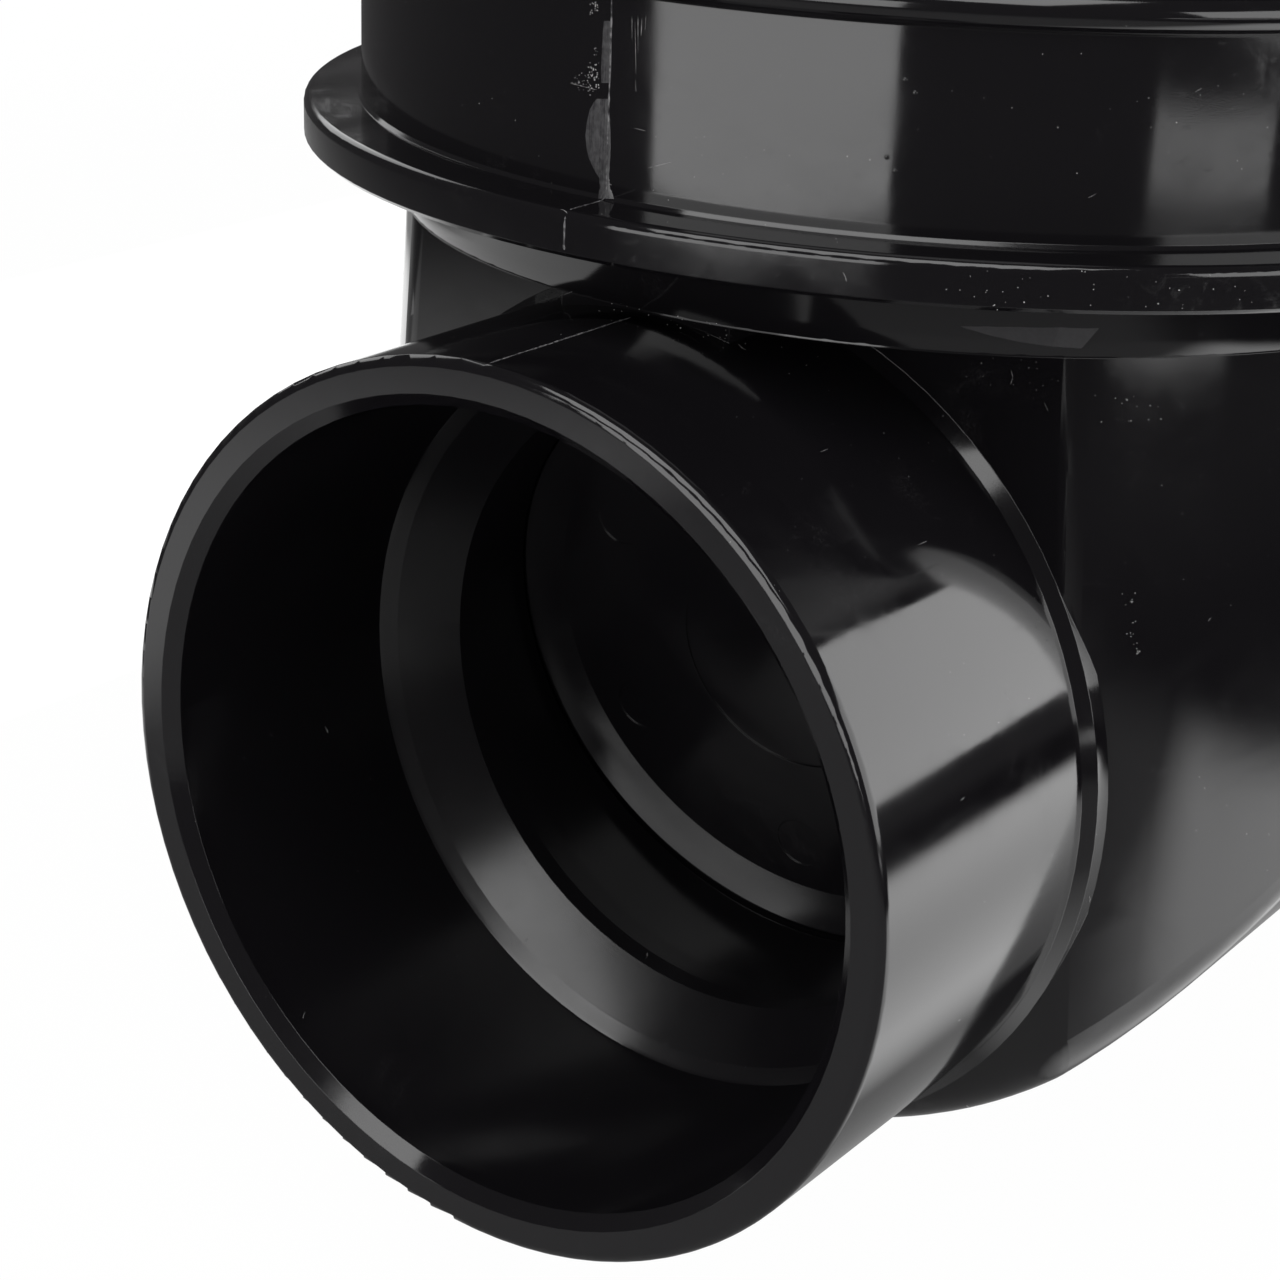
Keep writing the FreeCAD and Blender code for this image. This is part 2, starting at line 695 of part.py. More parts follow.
def build_flap_carrier():
    """Back plate of the flap, with a rim, a cross rib and two upright ribs that end in the hinge lugs."""
    body = new_body("flap_carrier")
    plate = [
        ("face_thickness", "0"),
        ("face_thickness", CARRIER_PAD),
        (SEAL_BACK, CARRIER_PAD),
        (SEAL_BACK, "carrier_radius"),
        (RIB_BACK, "carrier_radius"),
        (RIB_BACK, RIM_INSIDE),
        (CARRIER_BACK, RIM_INSIDE),
        (CARRIER_BACK, "0"),
    ]
    turned(body, outline(body, "carrier_plate", "XY_Plane", plate), "H_Axis")
    cross_reach = "(carrier_radius - carrier_rim_width / 2)"
    cross = [
        (CARRIER_MIDDLE, f"-{cross_reach}"),
        (RIB_BACK, f"-{cross_reach}"),
        (RIB_BACK, cross_reach),
        (CARRIER_MIDDLE, cross_reach),
    ]
    raised(body, outline(body, "carrier_cross", "XY_Plane", cross), "carrier_cross_rib", both=True)
    lug = [
        (CARRIER_MIDDLE, f"-{RIM_INSIDE}"),
        (RIB_BACK, f"-{RIM_INSIDE}"),
        (RIB_BACK, RIM_INSIDE),
        ("pivot_along + lug_radius", "pivot_up", "lug_radius", -1),
        ("pivot_along", "pivot_up + lug_radius", "lug_radius", -1),
        ("pivot_along - lug_radius", "pivot_up", "lug_radius", -1),
        ("pivot_along", "pivot_up - lug_radius"),
        (CARRIER_MIDDLE, RIM_INSIDE),
    ]
    side = raised(body, outline(body, "carrier_lug", "XZ_Plane", lug, out=f"-{LUG_OUTER}"), "lug_thickness")
    mirrored(body, [side], "XZ_Plane")
    sunk(body, circle(body, "lug_hole", "XZ_Plane", PIN_HOLE, "pivot_along", "pivot_up"))
    hole = sunk(body, circle(body, "carrier_hole", "YZ_Plane", "clamp_screw_radius + fit_gap",
                             centre_up="-clamp_pitch_radius", out=CARRIER_BACK), "carrier_thickness")
    around(body, [hole], "X_Axis", "clamp_count")
    lean(body)
    return body


def screw_outline(tip, seat, radius, head_radius, head_height):
    """Half outline of a cheese-head screw, from its tip to the top of its head."""
    bevel = f"({head_height} / 3)"
    point = f"({radius} / 3)"
    return [
        ("0", tip),
        (f"{radius} - {point}", tip),
        (radius, f"{tip} + {point}"),
        (radius, seat),
        (head_radius, seat),
        (head_radius, f"{seat} + {head_height} - {bevel}"),
        (f"{head_radius} - {bevel}", f"{seat} + {head_height}"),
        ("0", f"{seat} + {head_height}"),
    ]


def build_flap_screws():
    """Screws from the back of the carrier into the bosses of the face."""
    body = new_body("flap_screws")
    upright = screw_outline(CLAMP_TIP, CARRIER_BACK, "clamp_screw_radius", "clamp_head_radius",
                            "clamp_head_height")
    lying = [(along, across) for across, along in upright]
    sketch = outline(body, "flap_screw", "XZ_Plane", lying, up="-clamp_pitch_radius")
    around(body, [turned(body, sketch, "H_Axis")], "X_Axis", "clamp_count")
    lean(body)
    return body


# Hinge

def build_hinge_bracket():
    """Plate on the ledge with two ears that reach down to the pin."""
    body = new_body("hinge_bracket")
    corner = "bracket_corner"
    plate = [
        (f"{BRACKET_FRONT} + {corner}", f"-{EAR_OUTER}"),
        (BRACKET_BACK, f"-{EAR_OUTER}"),
        (BRACKET_BACK, EAR_OUTER),
        (f"{BRACKET_FRONT} + {corner}", EAR_OUTER, corner, -1),
        (BRACKET_FRONT, f"{EAR_OUTER} - {corner}"),
        (BRACKET_FRONT, f"-{EAR_OUTER} + {corner}", corner, -1),
    ]
    raised(body, outline(body, "bracket_plate", "XY_Plane", plate, out="bracket_seat_z"), "bracket_thickness")
    inside_plate = f"{BRACKET_TOP} - bracket_thickness / 2"
    ear = [
        (BRACKET_BACK, inside_plate),
        (f"{PIVOT_X} + ear_radius", PIVOT_Z, "ear_radius", 1),
        (PIVOT_X, f"{PIVOT_Z} - ear_radius", "ear_radius", 1),
        (f"{PIVOT_X} - ear_radius", PIVOT_Z),
        (f"{FRONT_INSIDE} + ear_gap * 2", inside_plate),
    ]
    side = raised(body, outline(body, "bracket_ear", "XZ_Plane", ear, out=f"-{EAR_OUTER}"), "ear_thickness")
    mirrored(body, [side], "XZ_Plane")
    sunk(body, circle(body, "ear_hole", "XZ_Plane", PIN_HOLE, PIVOT_X, PIVOT_Z))
    hole = sunk(body, circle(body, "plate_hole", "XY_Plane", "bracket_screw_radius + fit_gap",
                             BRACKET_SCREW_X, "bracket_screw_y", out=BRACKET_TOP), "bracket_thickness")
    mirrored(body, [hole], "XZ_Plane")
    return body


def build_bracket_screws():
    """Two upright screws that hold the bracket to the ledge."""
    body = new_body("bracket_screws")
    corners = screw_outline(f"{BRACKET_TOP} - bracket_screw_length", BRACKET_TOP, "bracket_screw_radius",
                            "bracket_head_radius", "bracket_head_height")
    sketch = outline(body, "bracket_screw", "XZ_Plane", corners, across=BRACKET_SCREW_X, out="-bracket_screw_y")
    mirrored(body, [turned(body, sketch, "V_Axis")], "XZ_Plane")
    return body


def build_hinge_pin():
    """Steel pin across the ears and lugs, with a groove near each end for a clip."""
    body = new_body("hinge_pin")
    half = [
        ("pin_radius", f"{CLIP_INNER} - fit_gap"),
        ("pin_groove_radius", f"{CLIP_INNER} - fit_gap"),
        ("pin_groove_radius", f"{CLIP_OUTER} + fit_gap"),
        ("pin_radius", f"{CLIP_OUTER} + fit_gap"),
        ("pin_radius", f"{PIN_HALF} - pin_bevel"),
        ("pin_radius - pin_bevel", PIN_HALF),
        ("0", PIN_HALF),
    ]
    other = [(across, f"-({along})") for across, along in reversed(half)]
    sketch = outline(body, "pin_outline", "XY_Plane", half + other, across=PIVOT_X, out=PIVOT_Z)
    turned(body, sketch, "V_Axis")
    return body


def build_clip(label, near_side):
    """Open spring clip in one groove of the pin, with its slot facing down."""
    body = new_body(label)
    outer = "clip_radius"
    inner = "(pin_groove_radius + fit_gap)"
    slot = "(clip_slot / 2)"
    outer_low = f"-sqrt({outer} * {outer} - {slot} * {slot})"
    inner_low = f"-sqrt({inner} * {inner} - {slot} * {slot})"
    corners = [
        (slot, outer_low, outer, -1),
        (outer, "0", outer, -1),
        ("0", outer, outer, -1),
        (f"-{outer}", "0", outer, -1),
        (f"-{slot}", outer_low),
        (f"-{slot}", inner_low, inner, 1),
        (f"-{inner}", "0", inner, 1),
        ("0", inner, inner, 1),
        (inner, "0", inner, 1),
        (slot, inner_low),
    ]
    sketch = outline(body, f"{label}_outline", "XZ_Plane", corners, across=PIVOT_X, up=PIVOT_Z, out=near_side)
    raised(body, sketch, "clip_thickness")
    return body


# Access cover

def build_access_cover():
    """Round cover with a spigot inside the screw bosses, a raised pad and a groove for the gasket."""
    body = new_body("access_cover")
    groove_in = "(gasket_outer_radius - gasket_width - gasket_gap)"
    groove_out = "(gasket_outer_radius + gasket_gap)"
    disc = [
        ("0", RIM_TOP),
        (f"{SPIGOT_RADIUS} - spigot_width", RIM_TOP),
        (f"{SPIGOT_RADIUS} - spigot_width", f"{RIM_TOP} - spigot_depth"),
        (SPIGOT_RADIUS, f"{RIM_TOP} - spigot_depth"),
        (SPIGOT_RADIUS, RIM_TOP),
        (groove_in, RIM_TOP),
        (groove_in, f"{RIM_TOP} + gasket_height"),
        (groove_out, f"{RIM_TOP} + gasket_height"),
        (groove_out, RIM_TOP),
        (COVER_RADIUS, RIM_TOP),
        (COVER_RADIUS, f"{COVER_TOP} - cover_bevel"),
        (f"{COVER_RADIUS} - cover_bevel", COVER_TOP),
        (f"{PAD_RADIUS} + cover_pad_height", COVER_TOP),
        (PAD_RADIUS, f"{COVER_TOP} + cover_pad_height"),
        ("0", f"{COVER_TOP} + cover_pad_height"),
    ]
    turned(body, outline(body, "cover_outline", "XZ_Plane", disc), "V_Axis")
    hole = sunk(body, circle(body, "cover_screw_hole", "XY_Plane", "cover_screw_radius + fit_gap",
                             SCREW_CIRCLE, "0", out=COVER_TOP), "cover_thickness")
    around(body, [hole], "Z_Axis", "cover_screw_count")
    over_neck(body)
    return body


def build_cover_gasket():
    """Flat rubber ring in the groove of the cover, on the rim of the neck."""
    body = new_body("cover_gasket")
    ring = [
        ("gasket_outer_radius - gasket_width", RIM_TOP),
        ("gasket_outer_radius", RIM_TOP),
        ("gasket_outer_radius", f"{RIM_TOP} + gasket_height"),
        ("gasket_outer_radius - gasket_width", f"{RIM_TOP} + gasket_height"),
    ]
    turned(body, outline(body, "gasket_ring", "XZ_Plane", ring, across="neck_x"), "V_Axis")
    return body


def build_cover_screws():
    """Hexagon-socket screws of the cover."""
    body = new_body("cover_screws")
    corners = screw_outline(f"{WASHER_TOP} - cover_screw_length", WASHER_TOP, "cover_screw_radius",
                            "cover_head_radius", "cover_head_height")
    screw = turned(body, outline(body, "cover_screw", "XZ_Plane", corners, across=SCREW_CIRCLE), "V_Axis")
    key = [(f"cover_key_radius * cos({turn * 60})", f"cover_key_radius * sin({turn * 60})") for turn in range(6)]
    socket = sunk(body, outline(body, "key_outline", "XY_Plane", key, across=SCREW_CIRCLE,
                                out=f"{WASHER_TOP} + cover_head_height"), "cover_key_depth")
    around(body, [screw, socket], "Z_Axis", "cover_screw_count")
    over_neck(body)
    return body


def faults(parts):
    """Objects that failed to build, and pieces with an empty or invalid shape."""
    found = [f"{item.Label} {item.State}" for item in doc.Objects
             if "Invalid" in item.State or "Error" in item.State]
    found += [f"{part.Label} shape" for part in parts
              if part.Shape.isNull() or not part.Shape.isValid() or not part.Shape.Solids]
    return found


def main():
    """Build every piece, check it and write it out."""
    fill_sheet()
    shank_hole = "cover_screw_radius + fit_gap"
    parts = [
        build_valve_body(),
        build_access_cover(),
        build_cover_gasket(),
        build_cover_screws(),
        neck_ring("cover_washers", shank_hole, "washer_radius", COVER_TOP, WASHER_TOP),
        neck_ring("cover_inserts", shank_hole, "cover_insert_radius", INSERT_BOTTOM, RIM_TOP),
        build_hinge_bracket(),
        build_bracket_screws(),
        ledge_pair("bracket_inserts", "bracket_screw_radius + fit_gap", "bracket_insert_radius",
                   SLEEVE_BOTTOM, "bracket_seat_z"),
        build_hinge_pin(),
        build_clip("pin_clip_left", f"-{CLIP_OUTER}"),
        build_clip("pin_clip_right", CLIP_INNER),
        build_flap_face(),
        build_flap_seal(),
        build_flap_carrier(),
        build_flap_screws(),
    ]
    doc.recompute()
    wrong = faults(parts)
    if wrong:
        raise RuntimeError("not built: " + ", ".join(wrong))
    os.makedirs("parts", exist_ok=True)
    for part in parts:
        part.Shape.exportStep(f"parts/{part.Label}.step")
        box = part.Shape.BoundBox
        print(f"{part.Label}: {len(part.Shape.Solids)} solids, {part.Shape.Volume / 1000:.2f} cm3, "
              f"X {box.XMin:.1f}..{box.XMax:.1f}, Y {box.YMin:.1f}..{box.YMax:.1f}, "
              f"Z {box.ZMin:.1f}..{box.ZMax:.1f}")


main()
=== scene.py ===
"""Backwater valve of glossy black plastic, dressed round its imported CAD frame.

Everything is in metres in the frame of the CAD model: X runs with the flow, Z is up, and the
origin is the centre of the inlet's mouth.
"""

import logging
import math
import random
from dataclasses import dataclass, field
from enum import Enum
from typing import Callable, Iterable, Sequence, Union

import bmesh
import bpy
from mathutils import Matrix, Vector
from mathutils.bvhtree import BVHTree


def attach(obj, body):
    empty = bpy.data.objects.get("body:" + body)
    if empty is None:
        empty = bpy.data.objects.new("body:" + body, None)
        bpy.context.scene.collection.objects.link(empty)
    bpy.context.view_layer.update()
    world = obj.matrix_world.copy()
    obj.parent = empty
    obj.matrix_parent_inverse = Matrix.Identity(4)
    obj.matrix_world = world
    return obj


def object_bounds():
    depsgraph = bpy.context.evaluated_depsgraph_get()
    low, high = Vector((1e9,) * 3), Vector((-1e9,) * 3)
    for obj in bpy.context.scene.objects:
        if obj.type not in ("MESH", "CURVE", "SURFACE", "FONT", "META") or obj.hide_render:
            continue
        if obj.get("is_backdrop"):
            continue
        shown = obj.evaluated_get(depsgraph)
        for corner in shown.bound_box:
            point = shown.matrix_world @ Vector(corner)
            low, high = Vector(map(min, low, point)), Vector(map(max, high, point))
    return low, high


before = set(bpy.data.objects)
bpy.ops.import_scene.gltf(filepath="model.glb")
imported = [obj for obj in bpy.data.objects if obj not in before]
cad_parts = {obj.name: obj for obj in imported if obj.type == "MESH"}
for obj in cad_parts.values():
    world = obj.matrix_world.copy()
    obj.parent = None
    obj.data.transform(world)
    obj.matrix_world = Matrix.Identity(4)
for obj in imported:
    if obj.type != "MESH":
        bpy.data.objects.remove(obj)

log = logging.getLogger("backwater_valve")

MM = 0.001
SEED = 9338
HOUSING = "housing"
RISER_AXIS = 116.8 * MM
Value = Union[float, tuple, bpy.types.NodeSocket]


class Axis(Enum):
    """Direction in which a moulding left its tool, so the way its drag marks run."""

    X = (0.03, 1.0, 1.0)
    Z = (1.0, 1.0, 0.03)


class Graph:
    """Node tree of one material, with short calls that add nodes and join them."""

    def __init__(self, name: str) -> None:
        """Make an empty material.

        Args:
            name: name of the new material.
        """
        self.material = bpy.data.materials.new(name)
        self.material.use_nodes = True
        self.tree = self.material.node_tree
        self.tree.nodes.clear()
        self.output = self.tree.nodes.new("ShaderNodeOutputMaterial")
        self.place = self.tree.nodes.new("ShaderNodeTexCoord").outputs["Object"]

    def add(self, kind: str, settings: dict | None = None, **inputs: Value) -> bpy.types.Node:
        """Add a node, set its options, and set or join its inputs by name.

        Args:
            kind: Blender's name of the node type.
            settings: options of the node itself.
            inputs: values or sockets for the inputs, with _ for a space in a name.

        Returns:
            The new node.
        """
        node = self.tree.nodes.new(kind)
        for name, value in (settings or {}).items():
            setattr(node, name, value)
        for name, value in inputs.items():
            self.feed(node.inputs[name.replace("_", " ")], value)
        return node

    def feed(self, socket: bpy.types.NodeSocket, value: Value) -> None:
        """Set an input to a constant, or join it to another node's output.

        Args:
            socket: the input.
            value: a constant, or the output to join.
        """
        if isinstance(value, bpy.types.NodeSocket):
            self.tree.links.new(value, socket)
        else:
            socket.default_value = value

    def math(self, operation: str, *values: Value, clamp: bool = False) -> bpy.types.NodeSocket:
        """Result of a math node.

        Args:
            operation: name of the operation.
            values: its inputs in order.
            clamp: keep the result between 0 and 1.

        Returns:
            The result's socket.
        """
        node = self.add("ShaderNodeMath", {"operation": operation, "use_clamp": clamp})
        for socket, value in zip(node.inputs, values):
            self.feed(socket, value)
        return node.outputs[0]

    def stretched(self, scale: tuple[float, float, float]) -> bpy.types.NodeSocket:
        """The object's own coordinates, scaled apart along each axis."""
        return self.add("ShaderNodeMapping", Vector=self.place, Scale=scale).outputs[0]

    def noise(self, scale: float, detail: float = 2.0, roughness: float = 0.5, distortion: float = 0.0,
              place: Value | None = None) -> bpy.types.NodeSocket:
        """Value of a noise texture, with features about 1 / scale metres across."""
        return self.add("ShaderNodeTexNoise", Scale=scale, Detail=detail, Roughness=roughness,
                        Distortion=distortion, Vector=place or self.place).outputs["Fac"]

    def between(self, value: Value, low: float, high: float, to_low: float = 0.0,
                to_high: float = 1.0) -> bpy.types.NodeSocket:
        """Smooth step of a value from one range to another.

        Args:
            value: the value to change.
            low: where the step starts.
            high: where it ends.
            to_low: result at the start.
            to_high: result at the end.

        Returns:
            The result's socket.
        """
        node = self.add("ShaderNodeMapRange", {"interpolation_type": "SMOOTHSTEP"})
        for socket, number in zip(node.inputs, (value, low, high, to_low, to_high)):
            self.feed(socket, number)
        return node.outputs[0]

    def colour(self, share: Value, first: Value, second: Value) -> bpy.types.NodeSocket:
        """Mix of two colours.

        Args:
            share: 0 for the first colour, 1 for the second.
            first: first colour.
            second: second colour.

        Returns:
            The mixed colour's socket.
        """
        node = self.add("ShaderNodeMix", {"data_type": "RGBA"})
        self.feed(node.inputs[0], share)
        self.feed(node.inputs[6], first)
        self.feed(node.inputs[7], second)
        return node.outputs[2]

    def bump(self, height: Value, depth: float, normal: Value | None = None) -> bpy.types.NodeSocket:
        """Normal bent by a height.

        Args:
            height: a value from 0 to 1.
            depth: the depth that 1 stands for, in metres.
            normal: the normal to bend, or nothing for the surface's own.

        Returns:
            The bent normal's socket.
        """
        node = self.add("ShaderNodeBump", Height=height, Distance=depth)
        if normal is not None:
            self.feed(node.inputs["Normal"], normal)
        return node.outputs[0]

    def softened(self, radius: float) -> bpy.types.NodeSocket:
        """Normal with sharp edges rounded off to a radius."""
        return self.add("ShaderNodeBevel", {"samples": 6}, Radius=radius).outputs[0]

    def finish(self, shader: bpy.types.Node) -> bpy.types.Material:
        """Join the last shader to the output and give the material."""
        self.tree.links.new(shader.outputs[0], self.output.inputs["Surface"])
        return self.material


@dataclass(frozen=True)
class Marks:
    """Marks that one piece adds to its plastic: extra roughness, and a height with its real depth."""

    dulling: bpy.types.NodeSocket
    height: bpy.types.NodeSocket
    depth: float


@dataclass(frozen=True)
class MouldedPlastic:
    """Glossy injection-moulded plastic: soft waves, fine grain, drag marks and a little dust."""

    name: str
    colour: tuple[float, float, float] = (0.0048, 0.0044, 0.0052)
    dust_colour: tuple[float, float, float] = (0.20, 0.19, 0.20)
    gloss: tuple[float, float] = (0.055, 0.11)
    blotch_scale: float = 55.0
    haze_scale: float = 38.0
    dust_scale: float = 2600.0
    wave_scale: float = 62.0
    wave_depth: float = 0.022 * MM
    grain_scale: float = 5200.0
    grain_depth: float = 0.0012 * MM
    drag: Axis = Axis.X
    drag_scale: float = 900.0
    drag_dulling: float = 0.042
    dust: float = 0.10
    edge: float = 0.15 * MM
    index: float = 1.53

    def material(self, marks_of: Callable[["Graph"], "Marks"] | None = None) -> bpy.types.Material:
        """Build the material.

        Args:
            marks_of: adds the marks of one piece.

        Returns:
            The material.
        """
        g = Graph(self.name)
        blotches = g.noise(self.blotch_scale, 4.0, 0.6, 0.4)
        streaks = g.noise(self.drag_scale, 3.0, 0.55, 0.2, g.stretched(self.drag.value))
        marks = g.between(streaks, 0.60, 0.78)
        haze = g.between(g.noise(self.haze_scale, 6.0, 0.72, 0.8), 0.56, 0.80)
        rough = g.between(blotches, 0.30, 0.72, *self.gloss)
        rough = g.math("MULTIPLY_ADD", marks, self.drag_dulling, rough)
        rough = g.math("MULTIPLY_ADD", haze, self.dust, rough, clamp=True)
        dusty = g.math("MULTIPLY", haze, g.between(g.noise(self.dust_scale, 2.0), 0.42, 0.75))
        share = g.math("MULTIPLY", dusty, self.dust)
        tint = g.colour(share, (*self.colour, 1.0), (*self.dust_colour, 1.0))
        normal = g.softened(self.edge)
        normal = g.bump(g.noise(self.wave_scale, 2.0, 0.5, 0.6), self.wave_depth, normal)
        normal = g.bump(g.noise(self.grain_scale, 2.0, 0.6), self.grain_depth, normal)
        if marks_of:
            own = marks_of(g)
            rough = g.math("ADD", rough, own.dulling, clamp=True)
            normal = g.bump(own.height, own.depth, normal)
        shader = g.add("ShaderNodeBsdfPrincipled", Base_Color=tint, Roughness=rough, Normal=normal)
        shader.inputs["Metallic"].default_value = 0.0
        shader.inputs["IOR"].default_value = self.index
        return g.finish(shader)


@dataclass(frozen=True)
class SoftRubber:
    """Matt black rubber with a fine skin and a trace of talc."""

    name: str
    colour: tuple[float, float, float] = (0.012, 0.012, 0.012)

    def material(self) -> bpy.types.Material:
        """Build the material.

        Returns:
            The material.
        """
        g = Graph(self.name)
        talc = g.between(g.noise(120.0, 5.0, 0.7, 0.3), 0.5, 0.8)
        tint = g.colour(g.math("MULTIPLY", talc, 0.25), (*self.colour, 1.0), (0.09, 0.09, 0.088, 1.0))
        rough = g.between(g.noise(300.0, 3.0), 0.3, 0.7, 0.62, 0.80)
        normal = g.bump(g.noise(4200.0, 3.0, 0.7), 0.004 * MM, g.softened(0.2 * MM))
        return g.finish(g.add("ShaderNodeBsdfPrincipled", Base_Color=tint, Roughness=rough, Normal=normal))


@dataclass(frozen=True)
class WorkedMetal:
    """Steel or brass with fine turning lines and faint spots."""

    name: str
    colour: tuple[float, float, float] = (0.56, 0.56, 0.55)
    dull: tuple[float, float, float] = (0.36, 0.36, 0.35)
    gloss: tuple[float, float] = (0.24, 0.40)

    def material(self) -> bpy.types.Material:
        """Build the material.

        Returns:
            The material.
        """
        g = Graph(self.name)
        spots = g.between(g.noise(260.0, 5.0, 0.7), 0.45, 0.75)
        tint = g.colour(spots, (*self.colour, 1.0), (*self.dull, 1.0))
        rough = g.between(g.noise(700.0, 3.0), 0.3, 0.7, *self.gloss)
        lines = g.noise(2400.0, 2.0, 0.5, 0.0, g.stretched(Axis.Z.value))
        normal = g.bump(lines, 0.003 * MM, g.softened(0.15 * MM))
        shader = g.add("ShaderNodeBsdfPrincipled", Base_Color=tint, Roughness=rough, Normal=normal)
        shader.inputs["Metallic"].default_value = 1.0
        return g.finish(shader)


@dataclass(frozen=True)
class Powder:
    """Pale dull stuff on the plastic: dust, lint, or plastic whitened by a knife, and pale grey used as
    painted highlights.
    """

    name: str
    pale: tuple[float, float, float] = (0.42, 0.41, 0.41)
    deep: tuple[float, float, float] = (0.16, 0.155, 0.16)
    rough: tuple[float, float] = (0.55, 0.85)
    streaks: float = 0.002 * MM

    def material(self) -> bpy.types.Material:
        """Build the material.

        Returns:
            The material.
        """
        g = Graph(self.name)
        share = g.between(g.noise(1500.0, 3.0, 0.6), 0.35, 0.68)
        tint = g.colour(share, (*self.deep, 1.0), (*self.pale, 1.0))
        lines = g.noise(2600.0, 3.0, 0.6, 0.2, g.stretched(Axis.Z.value))
        rough = g.between(lines, 0.3, 0.7, *self.rough)
        normal = g.bump(lines, self.streaks)
        return g.finish(g.add("ShaderNodeBsdfPrincipled", Base_Color=tint, Roughness=rough, Normal=normal))


@dataclass(frozen=True)
class Spot:
    """Place on a surface, with the direction straight out of it."""

    place: Vector
    normal: Vector

    def lifted(self, height: float) -> Vector:
        """Point a little above the surface, or below it for a negative height."""
        return self.place + self.normal * height

    def sides(self) -> tuple[Vector, Vector]:
        """Two directions along the surface, square to each other."""
        side = self.normal.orthogonal().normalized()
        return side, self.normal.cross(side)


class Skin:
    """Surface of a CAD node, on which small marks are laid."""

    def __init__(self, node: str) -> None:
        """Read the surface.

        Args:
            node: name of the CAD node.
        """
        bpy.context.view_layer.update()
        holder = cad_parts[node]
        points = [holder.matrix_world @ vertex.co for vertex in holder.data.vertices]
        self.tree = BVHTree.FromPolygons(points, [tuple(face.vertices) for face in holder.data.polygons])

    def meet(self, start: Vector, way: Vector) -> Spot | None:
        """First spot that a straight line meets.

        Args:
            start: where the line starts.
            way: its direction.

        Returns:
            The spot, or nothing where the line misses the surface.
        """
        place, normal, _, _ = self.tree.ray_cast(start, way)
        if place is None:
            return None
        return Spot(place, -normal if normal.dot(way) > 0 else normal)


